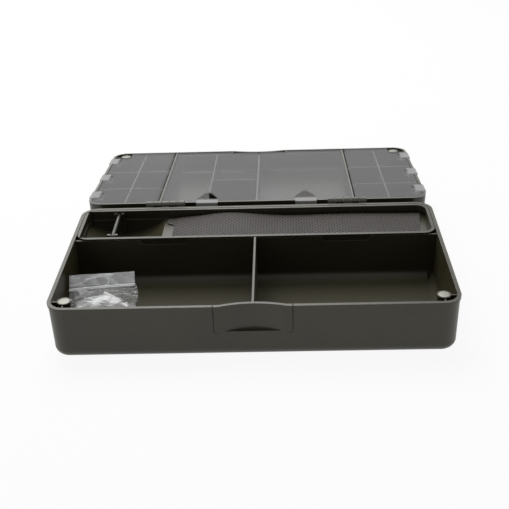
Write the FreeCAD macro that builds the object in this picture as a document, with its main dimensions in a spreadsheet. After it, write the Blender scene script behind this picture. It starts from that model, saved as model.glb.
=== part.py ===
import FreeCAD, Part
import math
import os
import re
import Sketcher

# A flat tackle box with its lid folded right back. X runs along the front, Y from front to back, Z up,
# and the origin is the centre of the base's underside. Millimetres and degrees.

# Driving sizes, one sheet cell each
SIZES = {
    # base tub
    "box_width": "360",
    "box_depth": "200",
    "base_height": "52.5",
    "base_draft": "1.2",
    "rim_corner_radius": "16",
    "base_edge_radius": "9",
    "base_wall": "2.6",
    "base_floor": "2.2",
    "inner_edge_radius": "7",
    "flange_proud": "0.8",
    "flange_height": "2.6",
    "overrun": "3",
    "running_gap": "0.3",
    # walls inside the base
    "rear_bay_depth": "64.1",
    "tray_wall_thickness": "2",
    "tray_wall_drop": "1.8",
    "floor_cove_radius": "10",
    "centre_wall_thickness": "2",
    "centre_wall_drop": "0.6",
    "wall_corner_cut": "6",
    "notch_inset": "91",
    "notch_width": "45",
    "notch_depth": "5.2",
    "notch_corner": "3.4",
    # magnets and their posts
    "post_inset": "15",
    "post_radius": "6",
    "post_drop": "0.2",
    "magnet_radius": "5",
    "magnet_height": "3",
    "press_fit": "0.02",
    "post_rib_thickness": "1.2",
    "post_rib_drop": "0.8",
    # thumb scoop in the front
    "panel_depth": "0.7",
    "scoop_width": "60",
    "scoop_depth": "5",
    "scoop_height": "26",
    "panel_margin": "4.5",
    "panel_extra_height": "2",
    "scoop_wall": "3",
    "lid_scoop_height": "15",
    # hinges between base and lid
    "hinge_reach": "7.4",
    "hinge_drop": "0.4",
    "hinge_inset": "85",
    "hinge_width": "40",
    "knuckle_count": "5",
    "knuckle_gap": "0.4",
    "knuckle_radius": "3.8",
    "hinge_pin_radius": "1.5",
    "pin_fit": "0.05",
    # lid
    "lid_thickness": "28",
    "lid_draft": "1.5",
    "lid_edge_radius": "8.5",
    "lid_wall": "2.6",
    "lid_skin": "2",
    "lid_inner_edge_radius": "6",
    "rim_gap": "0.4",
    "rest_gap": "0.05",
    # walls inside the lid
    "long_wall_thickness": "2",
    "section_inset": "77.5",
    "grid_wall_thickness": "1.5",
    "grid_inset": "39",
    "first_row_place": "60",
    "far_row_length": "76",
    "mid_column_inset": "50.5",
    "mid_row_place": "85",
    "finger_room_depth": "14",
    # clear covers over the lid's compartments
    "cover_recess": "0.3",
    "cover_thickness": "1.6",
    "cover_gap": "0.4",
    "swing_room": "0.9",
    "barrel_radius": "1.6",
    "stub_radius": "0.9",
    "stub_length": "1.8",
    "side_axis_offset": "4",
    "lug_width": "1.6",
    "lug_margin": "2.2",
    "latch_inset": "50.2",
    "latch_width": "22.5",
    "latch_band": "9",
    "latch_thickness": "3.6",
    "latch_proud": "1.5",
    "hook_height": "5.6",
    "window_width": "24",
    "window_start": "12.5",
    "window_length": "22",
    "window_head_width": "8.4",
    "window_head_rise": "3.5",
    "side_latch_width": "22",
    "first_latch_place": "35.5",
    "far_latch_inset": "34",
    "middle_latch_shift": "1.75",
    # lift-out tray
    "tray_gap": "0.4",
    "tray_draft": "2.2",
    "tray_wall": "1.6",
    "tray_floor": "1.6",
    "tray_edge_radius": "6",
    "tray_rim_width": "3",
    "tray_rim_thickness": "1.3",
    "tray_lip_height": "5",
    "tray_drop": "0.2",
    "ledge_drop": "10.1",
    "spool_bay_width": "80.2",
    "left_ledge_width": "11",
    "right_ledge_width": "15.2",
    "trough_inset": "36.2",
    "trough_radius": "66",
    "trough_drop": "25.9",
    "trough_wall": "2",
    # spool spindle and its cradles
    "spindle_radius": "1.9",
    "spindle_inset": "31.2",
    "spindle_overhang": "2.4",
    "spindle_drop": "4.5",
    "spindle_fit": "0.1",
    "spindle_end_gap": "0.6",
    "cradle_width": "10.4",
    "cradle_thickness": "3",
    "cradle_rise": "2.4",
    "front_cradle_inset": "7.9",
    "clip_radius": "3.2",
    "clip_thickness": "1.6",
    "clip_gap": "0.3",
    # loose mat over the tray's long bay
    "mat_thickness": "1.5",
    "mat_left_overlap": "2",
    "mat_right_front_overlap": "3.5",
    "mat_right_back_overlap": "10.5",
    "mat_front_gap": "1.7",
    "mat_back_gap": "1.6",
    "mat_ear": "7.5",
    "mat_ear_depth": "13",
    "mat_bow": "5",
    # grip-seal bag of small parts
    "bag_width": "61",
    "bag_height": "58",
    "bag_film": "0.4",
    "bag_lean": "50",
    "bag_turn": "5.5",
    "bag_side_gap": "6.7",
    "bag_front_gap": "32.9",
    "pouch_width": "54",
    "pouch_half_depth": "9.6",
    "pouch_height": "43",
    "pouch_mouth": "1.2",
    "seal_place": "43.6",
    "seal_height": "2.6",
    "seal_thickness": "0.9",
    "sleeve_radius": "2.3",
    "sleeve_bore": "0.9",
    "sleeve_length": "11",
    "sleeve_gap": "0.5",
    "sleeve_tilt": "30",
}

# Places and sizes that follow from the driving ones
DERIVED = {
    "half_width": "box_width / 2",
    "half_depth": "box_depth / 2",
    "notch_place": "half_width - notch_inset",
    "hinge_place": "half_width - hinge_inset",
    "base_slope": "base_draft / base_height",
    "base_inner_x": "half_width - flange_proud - base_wall",
    "base_inner_y": "half_depth - flange_proud - base_wall",
    "tray_wall_back": "base_inner_y - rear_bay_depth",
    "tray_wall_front": "tray_wall_back - tray_wall_thickness",
    "tray_wall_top": "base_height - tray_wall_drop",
    "magnet_x": "half_width - post_inset",
    "base_magnet_y": "post_inset - half_depth",
    "post_top": "base_height - post_drop",
    "scoop_radius": "(scoop_width * scoop_width / 4 + scoop_depth * scoop_depth) / (2 * scoop_depth)",
    "scoop_centre": "scoop_depth - half_depth - scoop_radius",
    "bulge_radius": "scoop_radius + scoop_wall",
    "scoop_foot": "base_height - scoop_height",
    "panel_foot": "scoop_foot - panel_extra_height",
    "panel_width": "scoop_width + 2 * panel_margin",
    "knuckle_width": "(hinge_width - (knuckle_count - 1) * knuckle_gap) / knuckle_count",
    "knuckle_pitch": "knuckle_width + knuckle_gap",
    "hinge_y": "half_depth + hinge_reach",
    "hinge_z": "base_height - hinge_drop",
    "lid_axis": "lid_thickness + rim_gap + hinge_drop",
    "lid_slope": "lid_draft / lid_thickness",
    "lid_inner_x": "half_width - lid_wall",
    "lid_near": "lid_wall",
    "lid_far": "box_depth - lid_wall",
    "section_wall_place": "half_width - section_inset",
    "grid_column_place": "half_width - grid_inset",
    "mid_column_place": "section_wall_place - mid_column_inset",
    "latch_place": "section_wall_place - latch_inset",
    "side_axis_place": "section_wall_place + side_axis_offset",
    "lug_inner_place": "scoop_width / 2 + lug_margin",
    "second_row_place": "box_depth - far_row_length",
    "third_latch_place": "box_depth - far_latch_inset",
    "second_latch_place": "(first_latch_place + third_latch_place) / 2 - middle_latch_shift",
    "lid_fall": "(lid_thickness - lid_skin) * lid_slope",
    "foot_reach": "box_depth - lid_draft - lid_edge_radius + hinge_reach",
    "foot_drop": "lid_axis - lid_edge_radius",
    "foot_arm": "sqrt(foot_reach * foot_reach + foot_drop * foot_drop)",
    "foot_height": "hinge_z - lid_edge_radius - rest_gap",
    "lid_magnet_s": "box_depth - post_inset",
    "lid_scoop_centre": "half_depth - scoop_centre",
    "cover_top": "lid_thickness - cover_recess",
    "cover_under": "cover_top - cover_thickness",
    "cover_axis": "cover_top - barrel_radius",
    "wall_top": "cover_under - running_gap",
    "low_wall_top": "cover_top - 2 * barrel_radius - 2 * running_gap",
    "mid_axis_s": "lid_far - cover_gap - barrel_radius",
    "barrel_room_s": "mid_axis_s - barrel_radius - 2 * running_gap",
    "side_barrel_room": "side_axis_place + barrel_radius + 2 * running_gap",
    "wall_start_s": "lid_near + lid_fall + pin_fit",
    "wall_end_s": "lid_far - lid_fall - pin_fit",
    "grid_outer_x": "lid_inner_x - lid_fall - pin_fit",
    "section_outer_x": "section_wall_place + long_wall_thickness / 2",
    "section_inner_x": "section_wall_place - long_wall_thickness / 2",
    "mid_cover_edge": "section_inner_x - running_gap",
    "side_cover_edge": "lid_inner_x - cover_gap",
    "cover_near": "lid_near + cover_gap",
    "cover_far": "lid_far - cover_gap",
    "lug_outer_place": "section_inner_x",
    "window_shoulder": "window_start + window_length - window_head_rise",
    "window_head_radius": "(window_head_width * window_head_width / 4 + window_head_rise * window_head_rise)"
    " / (2 * window_head_rise)",
    "tray_top": "base_height - tray_drop",
    "tray_low": "base_floor + running_gap",
    "tray_rim_x": "base_inner_x - tray_gap",
    "tray_rim_front": "tray_wall_front + tray_gap",
    "tray_rim_back": "base_inner_y - tray_gap",
    "tray_corner_radius": "rim_corner_radius - flange_proud - base_wall - 2 * tray_gap",
    "tray_body_x": "tray_rim_x - tray_gap",
    "tray_body_front": "tray_wall_back + tray_gap",
    "tray_body_back": "tray_rim_back - tray_gap",
    "tray_rim_under": "tray_top - tray_rim_thickness",
    "tray_open_x": "tray_rim_x - tray_rim_width",
    "tray_open_front": "tray_body_front + tray_wall",
    "tray_open_back": "tray_rim_back - tray_rim_width",
    "ledge_top": "tray_top - ledge_drop",
    "left_ledge_start": "tray_open_x - spool_bay_width",
    "right_ledge_start": "tray_open_x - right_ledge_width",
    "trough_place": "tray_open_x - trough_inset",
    "spindle_place": "tray_open_x - spindle_inset",
    "trough_bottom": "tray_top - trough_drop",
    "trough_centre": "trough_bottom + trough_radius",
    "spindle_z": "base_height - spindle_drop",
    "front_cradle_place": "tray_open_front + front_cradle_inset",
    "spindle_front": "front_cradle_place - spindle_overhang",
    "spindle_length": "tray_open_back - spindle_end_gap - spindle_front",
    "back_cradle_place": "tray_open_back - cradle_thickness",
    "mat_rest": "ledge_top + running_gap",
    "mat_left": "left_ledge_start - left_ledge_width + mat_left_overlap",
    "mat_right_front": "right_ledge_start + mat_right_front_overlap",
    "mat_right_back": "right_ledge_start + mat_right_back_overlap",
    "mat_front": "tray_open_front + mat_front_gap",
    "mat_back": "tray_open_back - mat_back_gap",
    "pouch_edge": "(bag_width - pouch_width) / 2",
    "pouch_radius": "(pouch_height * pouch_height / 4 + pouch_half_depth * pouch_half_depth)"
    " / (2 * pouch_half_depth)",
}

DERIVED_ANGLES = {
    "base_angle": "atan(base_slope)",
    "lid_angle": "atan(lid_slope)",
    "tray_angle": "atan(tray_draft / (tray_rim_under - tray_low))",
    "lid_tilt": "atan(foot_reach / foot_drop) - acos(foot_height / foot_arm)",
}

DERIVED_PLACES = {
    "lid_origin_y": "hinge_y + hinge_reach * cos(lid_tilt) - lid_axis * sin(lid_tilt)",
    "lid_origin_z": "hinge_z - hinge_reach * sin(lid_tilt) - lid_axis * cos(lid_tilt)",
}

X_AXIS = FreeCAD.Vector(1, 0, 0)
Y_AXIS = FreeCAD.Vector(0, 1, 0)
Z_AXIS = FreeCAD.Vector(0, 0, 1)
TURNS = {
    "x": FreeCAD.Rotation(Y_AXIS, 90),
    "y": FreeCAD.Rotation(X_AXIS, -90),
    "z": FreeCAD.Rotation(),
}
LEFT = -1
RIGHT = 1
SIDES = {"left": LEFT, "right": RIGHT}
TINY = 1e-6

doc = FreeCAD.newDocument("TackleBox")
sheet = doc.addObject("Spreadsheet::Sheet", "Sizes")
derived = doc.addObject("App::VarSet", "Derived")
parts = []


# Named sizes and expressions


def cell(text):
    """The expression with each named size pointed at the sheet or the derived values."""
    def owner(match):
        word = match.group(0)
        if word in SIZES:
            return "Sizes." + word
        if word in DERIVED or word in DERIVED_ANGLES or word in DERIVED_PLACES:
            return "Derived." + word
        return word
    return re.sub(r"[a-z_]+", owner, str(text))


def number(text):
    """The value of an expression as a plain number."""
    result = sheet.evalExpression(cell(text))
    return float(getattr(result, "Value", result))


def bind(item, **formulas):
    """Ties properties to expressions; a double underscore in a name stands for a dot."""
    for path, text in formulas.items():
        item.setExpression(path.replace("__", "."), cell(text))


def fill_sheet():
    for row, (alias, value) in enumerate(SIZES.items(), 1):
        sheet.set(f"A{row}", alias)
        sheet.set(f"B{row}", value)
        sheet.setAlias(f"B{row}", alias)
    doc.recompute()
    for kind, formulas in (("Float", DERIVED), ("Angle", DERIVED_ANGLES), ("Float", DERIVED_PLACES)):
        for name, text in formulas.items():
            derived.addProperty("App::Property" + kind, name, "Derived")
            derived.setExpression(name, cell(text))
            doc.recompute()


# Building blocks


def new_body(label):
    body = doc.addObject("PartDesign::Body", label)
    body.Label = label
    parts.append(body)
    return body


def plane(body, role):
    return next(item for item in body.Origin.OriginFeatures if item.Role == role)


def span(side, inner, outer):
    """A stretch of X on the left or right, given its distances from the middle."""
    if side == RIGHT:
        return inner, outer
    return f"-({outer})", f"-({inner})"


def outline(body, name, path, level="0", role="XY_Plane"):
    """A closed sketch. A point is (x, y), or (x, y, radius, turn) where an arc leaves it."""
    sketch = body.newObject("Sketcher::SketchObject", name)
    sketch.AttachmentSupport = [(plane(body, role), "")]
    sketch.MapMode = "FlatFace"
    bind(sketch, AttachmentOffset__Base__z=level)
    corners = [FreeCAD.Vector(number(point[0]), number(point[1]), 0) for point in path]
    for index, point in enumerate(path):
        start, end = corners[index], corners[(index + 1) % len(path)]
        if len(point) == 2:
            sketch.addGeometry(Part.LineSegment(start, end), False)
            continue
        radius, turn = number(point[2]), point[3]
        half = (end - start).Length / 2
        outward = FreeCAD.Vector((end - start).y, -(end - start).x, 0).normalize() * turn
        rise = radius - math.sqrt(max(radius * radius - half * half, 0))
        sketch.addGeometry(Part.Arc(start, (start + end) * 0.5 + outward * rise, end), False)
    # an arc keeps its own sense, so its start may be the path's end
    starts = []
    for index, point in enumerate(path):
        flipped = len(point) == 4 and point[3] < 0
        starts.append(2 if flipped else 1)
    for index, point in enumerate(path):
        after = (index + 1) % len(path)
        ends = (index, 3 - starts[index], after, starts[after])
        sketch.addConstraint(Sketcher.Constraint("Coincident", *ends))
        for kind, text in (("DistanceX", point[0]), ("DistanceY", point[1])):
            rule = Sketcher.Constraint(kind, -1, 1, index, starts[index], number(text))
            sketch.setExpression(f"Constraints[{sketch.addConstraint(rule)}]", cell(text))
        if len(point) == 4:
            rule = Sketcher.Constraint("Radius", index, number(point[2]))
            sketch.setExpression(f"Constraints[{sketch.addConstraint(rule)}]", cell(point[2]))
    return sketch


def rounded(body, name, x, y, radius, level="0", role="XY_Plane"):
    """A rectangle with four equal corner arcs."""
    (left, right), (low, high) = x, y
    path = [
        (f"{left} + {radius}", low),
        (f"{right} - {radius}", low, radius, 1),
        (right, f"{low} + {radius}"),
        (right, f"{high} - {radius}", radius, 1),
        (f"{right} - {radius}", high),
        (f"{left} + {radius}", high, radius, 1),
        (left, f"{high} - {radius}"),
        (left, f"{low} + {radius}", radius, 1),
    ]
    return outline(body, name, path, level, role)


def extrude(body, name, sketch, length, cut=False, back=False, taper="0"):
    """A pad or a pocket that grows along the sketch plane's normal, or back against it."""
    feature = body.newObject("PartDesign::" + ("Pocket" if cut else "Pad"), name)
    feature.Profile = sketch
    feature.Reversed = back != cut
    bind(feature, Length=length, TaperAngle=taper)
    return feature


def block(body, name, x, y, z, cut=False):
    """A box between two planes on each axis."""
    feature = body.newObject("PartDesign::" + ("Subtractive" if cut else "Additive") + "Box", name)
    bind(feature, Length=f"({x[1]}) - ({x[0]})", Width=f"({y[1]}) - ({y[0]})", Height=f"({z[1]}) - ({z[0]})")
    bind(feature, Placement__Base__x=x[0], Placement__Base__y=y[0], Placement__Base__z=z[0])
    return feature


def rod(body, name, axis, start, length, radius, cut=False):
    """A cylinder along x, y or z."""
    feature = body.newObject("PartDesign::" + ("Subtractive" if cut else "Additive") + "Cylinder", name)
    feature.Placement = FreeCAD.Placement(FreeCAD.Vector(), TURNS[axis])
    bind(feature, Radius=radius, Height=length)
    bind(feature, Placement__Base__x=start[0], Placement__Base__y=start[1], Placement__Base__z=start[2])
    return feature


def soften(body, name, radius, chosen):
    """Rounds the edges of the last feature that the test picks."""
    doc.recompute()
    last = body.Tip
    edges = [f"Edge{index}" for index, edge in enumerate(last.Shape.Edges, 1) if chosen(edge)]
    feature = body.newObject("PartDesign::Fillet", name)
    feature.Base = (last, edges)
    bind(feature, Radius=radius)
    return feature


def at_level(height):
    level = number(height)

    def lies_there(edge):
        low, high = edge.BoundBox.ZMin, edge.BoundBox.ZMax
        return high - low < TINY and abs(low - level) < TINY

    return lies_there


def in_lid(body):
    """Lays a piece modelled with the lid flat, rim up and hinge side at Y zero, into the open lid."""
    body.Placement = FreeCAD.Placement(FreeCAD.Vector(), FreeCAD.Rotation(X_AXIS * -1, 1))
    bind(body, Placement__Base__y="lid_origin_y", Placement__Base__z="lid_origin_z")
    bind(body, Placement__Rotation__Angle="lid_tilt")


def in_bag(item):
    """Lays a piece of the bag in the left compartment, leaning back on its pouch and turned a little."""
    lean = number("bag_lean")
    item.Placement = FreeCAD.Placement(FreeCAD.Vector(), FreeCAD.Rotation(number("bag_turn"), 0, -lean))
    upright = f"cos({lean}deg)"
    flat = f"sin({lean}deg)"
    lowest = (
        f"pouch_height / 2 * {upright}"
        f" + (pouch_radius - pouch_half_depth - pouch_mouth / 2) * {flat} - pouch_radius"
    )
    bind(item, Placement__Base__x="bag_side_gap - base_inner_x")
    bind(item, Placement__Base__y="bag_front_gap - base_inner_y")
    bind(item, Placement__Base__z=f"base_floor + running_gap - ({lowest})")


# Base


def corner_post(body, name, side, y, walls, levels):
    """A round post for a magnet, ribbed to the two walls of its corner above their rounded foot."""
    wall_x, wall_y = walls
    bottom, rib_bottom, top = levels
    place = f"{side} * magnet_x"
    rod(body, name + "Post", "z", (place, y, bottom), f"{top} - ({bottom})", "post_radius")
    low, high = sorted((y, wall_y), key=number)
    ribs = (rib_bottom, f"{top} - post_rib_drop")
    half = "post_rib_thickness / 2"
    block(body, name + "RibToEnd", (f"{place} - {half}", f"{place} + {half}"), (low, high), ribs)
    x = span(side, "magnet_x", wall_x)
    block(body, name + "RibToSide", x, (f"{y} - {half}", f"{y} + {half}"), ribs)
    floor = f"{top} - magnet_height"
    start = (place, y, floor)
    rod(body, name + "Socket", "z", start, "magnet_height + overrun", "magnet_radius + press_fit", True)


def knuckles(body, name, mine, y, z, arm_y, arm_z):
    """Every second hinge knuckle of both hinges, with its arm back to the wall."""
    for side_name, side in SIDES.items():
        start = f"{side} * hinge_place - hinge_width / 2"
        for turn in mine:
            left = f"{start} + {turn} * knuckle_pitch"
            tag = f"{name}{side_name.title()}{turn}"
            block(body, tag + "Arm", (left, f"{left} + knuckle_width"), arm_y, arm_z)
            rod(body, tag + "Barrel", "x", (left, y, z), "knuckle_width", "knuckle_radius")
        bore = (f"{start} - overrun", y, z)
        rod(body, name + side_name.title() + "Bore", "x", bore, "hinge_width + 2 * overrun",
            "hinge_pin_radius + pin_fit", True)


def make_base_tub():
    tub = new_body("base_tub")
    foot = "(flange_proud + base_draft)"
    corner = "rim_corner_radius - flange_proud - base_draft"
    x = (f"{foot} - half_width", f"half_width - {foot}")
    y = (f"{foot} - half_depth", f"half_depth - {foot}")
    extrude(tub, "Outside", rounded(tub, "Footprint", x, y, f"({corner})"), "base_height", taper="base_angle")
    x = ("-half_width", "half_width")
    y = ("-half_depth", "half_depth")
    rim = rounded(tub, "RimOutline", x, y, "rim_corner_radius", "base_height - flange_height")
    extrude(tub, "RimFlange", rim, "flange_height")
    # the hollow, coved all round its floor
    fall = "(base_height - base_floor) * base_slope"
    x = (f"{fall} - base_inner_x", f"base_inner_x - {fall}")
    y = (f"{fall} - base_inner_y", f"base_inner_y - {fall}")
    corner = f"(rim_corner_radius - flange_proud - base_wall - {fall})"
    hollow = rounded(tub, "HollowOutline", x, y, corner, "base_floor")
    extrude(tub, "Hollow", hollow, "base_height", cut=True, taper="base_angle")
    soften(tub, "HollowEdge", "inner_edge_radius", at_level("base_floor"))
    soften(tub, "UndersideEdge", "base_edge_radius", at_level("0"))
    # the wall in front of the tray, with two finger notches and a cove at its foot
    wall = [
        ("wall_corner_cut - base_inner_x", "base_floor / 2"),
        ("base_inner_x - wall_corner_cut", "base_floor / 2"),
        ("base_inner_x", "base_floor / 2 + wall_corner_cut"),
        ("base_inner_x", "tray_wall_top"),
        ("-base_inner_x", "tray_wall_top"),
        ("-base_inner_x", "base_floor / 2 + wall_corner_cut"),
    ]
    shape = outline(tub, "TrayWallOutline", wall, "-tray_wall_front", "XZ_Plane")
    extrude(tub, "TrayWall", shape, "tray_wall_thickness", back=True)
    cove = [
        ("tray_wall_front - floor_cove_radius", "base_floor", "floor_cove_radius", 1),
        ("tray_wall_front", "base_floor + floor_cove_radius"),
        ("tray_wall_front + tray_wall_thickness / 2", "base_floor + floor_cove_radius"),
        ("tray_wall_front + tray_wall_thickness / 2", "base_floor / 2"),
        ("tray_wall_front - floor_cove_radius", "base_floor / 2"),
    ]
    half = "(base_inner_x - inner_edge_radius)"
    extrude(tub, "Cove", outline(tub, "CoveProfile", cove, f"-{half}", "YZ_Plane"), f"2 * {half}")
    for side_name, side in SIDES.items():
        middle = f"{side} * notch_place"
        x = (f"{middle} - notch_width / 2", f"{middle} + notch_width / 2")
        z = ("tray_wall_top - notch_depth", "tray_wall_top + 2 * notch_corner + overrun")
        name = "Notch" + side_name.title()
        shape = rounded(tub, name, x, z, "notch_corner", "-tray_wall_front", "XZ_Plane")
        extrude(tub, "NotchCut" + side_name.title(), shape, "tray_wall_thickness", cut=True, back=True)
    # the wall between the two front compartments
    behind_scoop = "scoop_depth + scoop_wall / 2 - half_depth"
    low = "base_floor / 2"
    high = "base_height - centre_wall_drop"
    wall = [
        ("wall_corner_cut - base_inner_y", low),
        ("tray_wall_front + tray_wall_thickness / 2", low),
        ("tray_wall_front + tray_wall_thickness / 2", "tray_wall_top"),
        ("tray_wall_front", "tray_wall_top"),
        ("tray_wall_front", high),
        (behind_scoop, high),
        (behind_scoop, "scoop_foot - scoop_wall / 2"),
        ("-base_inner_y", "scoop_foot - scoop_wall / 2"),
        ("-base_inner_y", f"{low} + wall_corner_cut"),
    ]
    shape = outline(tub, "CentreWallOutline", wall, "-centre_wall_thickness / 2", "YZ_Plane")
    extrude(tub, "CentreWall", shape, "centre_wall_thickness")
    for side_name, side in SIDES.items():
        walls = ("base_inner_x", "-base_inner_y")
        corner_post(tub, "Front" + side_name.title(), side, "base_magnet_y", walls,
                    ("base_floor / 2", "inner_edge_radius", "post_top"))
    # thumb scoop: the wall bulges in behind it
    chord = "(flange_proud + base_wall / 2 - half_depth)"
    reach = f"sqrt(bulge_radius * bulge_radius - ({chord} - scoop_centre) * ({chord} - scoop_centre))"
    bulge = [(f"-{reach}", chord), (reach, chord, "bulge_radius", 1)]
    shape = outline(tub, "BulgeOutline", bulge, "scoop_foot - scoop_wall")
    extrude(tub, "Bulge", shape, "base_height - scoop_foot + scoop_wall")
    rod(tub, "Scoop", "z", ("0", "scoop_centre", "scoop_foot"), "base_height", "scoop_radius", True)
    x = ("-panel_width / 2", "panel_width / 2")
    y = ("-half_depth - overrun", "flange_proud + panel_depth - half_depth")
    block(tub, "FrontPanel", x, y, ("panel_foot", "base_height - flange_height"), True)
    arm_y = ("half_depth - flange_proud - base_wall / 2", "hinge_y")
    arm_z = ("hinge_z - knuckle_radius", "hinge_z - running_gap")
    knuckles(tub, "Base", (0, 2, 4), "hinge_y", "hinge_z", arm_y, arm_z)


def make_base_magnets():
    for side_name, side in SIDES.items():
        magnet = new_body("base_magnet_" + side_name)
        start = (f"{side} * magnet_x", "base_magnet_y", "post_top - magnet_height")
        rod(magnet, "Disc" + side_name.title(), "z", start, "magnet_height", "magnet_radius")


def make_hinge_pins():
    for side_name, side in SIDES.items():
        pin = new_body("hinge_pin_" + side_name)
        start = (f"{side} * hinge_place - hinge_width / 2", "hinge_y", "hinge_z")
        rod(pin, "Pin" + side_name.title(), "x", start, "hinge_width", "hinge_pin_radius")


# Lid, modelled flat with its rim up: X across, Y from the hinge edge, Z from the outer skin


def make_lid_shell():
    lid = new_body("lid_shell")
    x = ("lid_draft - half_width", "half_width - lid_draft")
    y = ("lid_draft", "box_depth - lid_draft")
    outside = rounded(lid, "LidOutline", x, y, "(rim_corner_radius - lid_draft)")
    extrude(lid, "LidOutside", outside, "lid_thickness", taper="lid_angle")
    inset = "(lid_wall + lid_fall)"
    x = (f"{inset} - half_width", f"half_width - {inset}")
    y = (inset, f"box_depth - {inset}")
    hollow = rounded(lid, "LidHollowOutline", x, y, f"(rim_corner_radius - {inset})", "lid_skin")
    extrude(lid, "LidHollow", hollow, "lid_thickness", cut=True, taper="lid_angle")
    soften(lid, "LidHollowEdge", "lid_inner_edge_radius", at_level("lid_skin"))
    soften(lid, "LidEdge", "lid_edge_radius", at_level("0"))
    for side_name, side in SIDES.items():
        corner_post(lid, "Lid" + side_name.title(), side, "lid_magnet_s", ("lid_inner_x", "lid_far"),
                    ("lid_skin / 2", "lid_inner_edge_radius", "(lid_thickness - post_drop)"))
    # the thumb scoop runs on into the front of the lid
    chord = "(box_depth - lid_wall / 2 - lid_draft / 2)"
    reach = f"sqrt(bulge_radius * bulge_radius - (lid_scoop_centre - {chord}) * (lid_scoop_centre - {chord}))"
    bulge = [(reach, chord), (f"-{reach}", chord, "bulge_radius", 1)]
    shape = outline(lid, "LidBulgeOutline", bulge, "lid_thickness - lid_scoop_height - scoop_wall")
    extrude(lid, "LidBulge", shape, "lid_scoop_height + scoop_wall")
    start = ("0", "lid_scoop_centre", "lid_thickness - lid_scoop_height")
    rod(lid, "LidScoop", "z", start, "lid_thickness", "scoop_radius", True)
    make_cover_seats(lid)
    arm_z = ("lid_axis - knuckle_radius", "lid_thickness")
    knuckles(lid, "Lid", (1, 3), "-hinge_reach", "lid_axis", ("-hinge_reach", "lid_wall / 4"), arm_z)


def make_cover_seats(lid):
    """Rim notches for the covers' latches, and the lugs and sockets that hold their stub pins."""
    low = "cover_under - running_gap"
    z = (low, "lid_thickness + overrun")
    for side_name, side in SIDES.items():
        tag = side_name.title()
        middle = f"{side} * latch_place"
        half = "(latch_width / 2 + running_gap)"
        y = ("-overrun", "lid_near + lid_fall")
        block(lid, "NearNotch" + tag, (f"{middle} - {half}", f"{middle} + {half}"), y, z, True)
        half = "(side_latch_width / 2 + running_gap)"
        x = span(side, "lid_inner_x - lid_fall", "half_width + overrun")
        for turn, place in enumerate(("first_latch_place", "second_latch_place", "third_latch_place")):
            block(lid, f"SideNotch{tag}{turn}", x, (f"{place} - {half}", f"{place} + {half}"), z, True)
        lug_y = ("barrel_room_s", "lid_far + lid_wall / 2")
        lug_z = ("low_wall_top + running_gap / 2", "cover_top")
        for turn, place in enumerate(("lug_inner_place", "lug_outer_place")):
            block(lid, f"Lug{tag}{turn}", span(side, place, f"{place} + lug_width"), lug_y, lug_z)
        bore = "stub_radius + pin_fit"
        left = span(side, "lug_inner_place", "lug_outer_place + lug_width")[0]
        length = "lug_outer_place + lug_width - lug_inner_place"
        rod(lid, "MidSocket" + tag, "x", (left, "mid_axis_s", "cover_axis"), length, bore, True)
        depth = "(stub_length + running_gap - cover_gap)"
        place = f"{side} * side_axis_place"
        start = (place, f"lid_near - {depth}", "cover_axis")
        rod(lid, "SideSocket" + tag, "y", start, f"lid_far - lid_near + 2 * {depth}", bore, True)


def make_lid_magnets():
    for side_name, side in SIDES.items():
        magnet = new_body("lid_magnet_" + side_name)
        start = (f"{side} * magnet_x", "lid_magnet_s", "lid_thickness - post_drop - magnet_height")
        rod(magnet, "LidDisc" + side_name.title(), "z", start, "magnet_height", "magnet_radius")
        in_lid(magnet)


def long_wall(body, name, place, thickness, top="wall_top", start_top="", step="0", end="wall_end_s",
              end_top="low_wall_top"):
    """A wall from the hinge side to the front, lower where a cover's barrel or a finger needs room."""
    leg = "lid_inner_edge_radius"
    start = "wall_start_s"
    start_top = start_top or top
    path = [
        (start, f"lid_skin + {leg}"),
        (f"{start} + {leg}", "lid_skin"),
        (f"{end} - {leg}", "lid_skin"),
        (end, f"lid_skin + {leg}"),
        (end, end_top),
    ]
    if end_top != top:
        path += [("barrel_room_s", end_top), ("barrel_room_s", top)]
    if start_top != top:
        path += [(step, top), (step, start_top)]
    path.append((start, start_top))
    profile = outline(body, name + "Profile", path, f"{place} - {thickness} / 2", "YZ_Plane")
    extrude(body, name, profile, thickness)


def cross_wall(body, name, s, side):
    """A short wall from a section wall outwards: low under the cover's barrel, cut for the rounded floor."""
    leg = "lid_inner_edge_radius"
    edge = f"{side} * grid_outer_x"
    path = [
        (f"{side} * (section_outer_x + pin_fit)", "lid_skin"),
        (f"{side} * (grid_outer_x - {leg})", "lid_skin"),
        (edge, f"lid_skin + {leg}"),
        (edge, "wall_top"),
        (f"{side} * side_barrel_room", "wall_top"),
        (f"{side} * side_barrel_room", "low_wall_top"),
        (f"{side} * (section_outer_x + pin_fit)", "low_wall_top"),
    ]
    profile = outline(body, name + "Profile", path, f"-({s} + grid_wall_thickness / 2)", "XZ_Plane")
    extrude(body, name, profile, "grid_wall_thickness")


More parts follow.
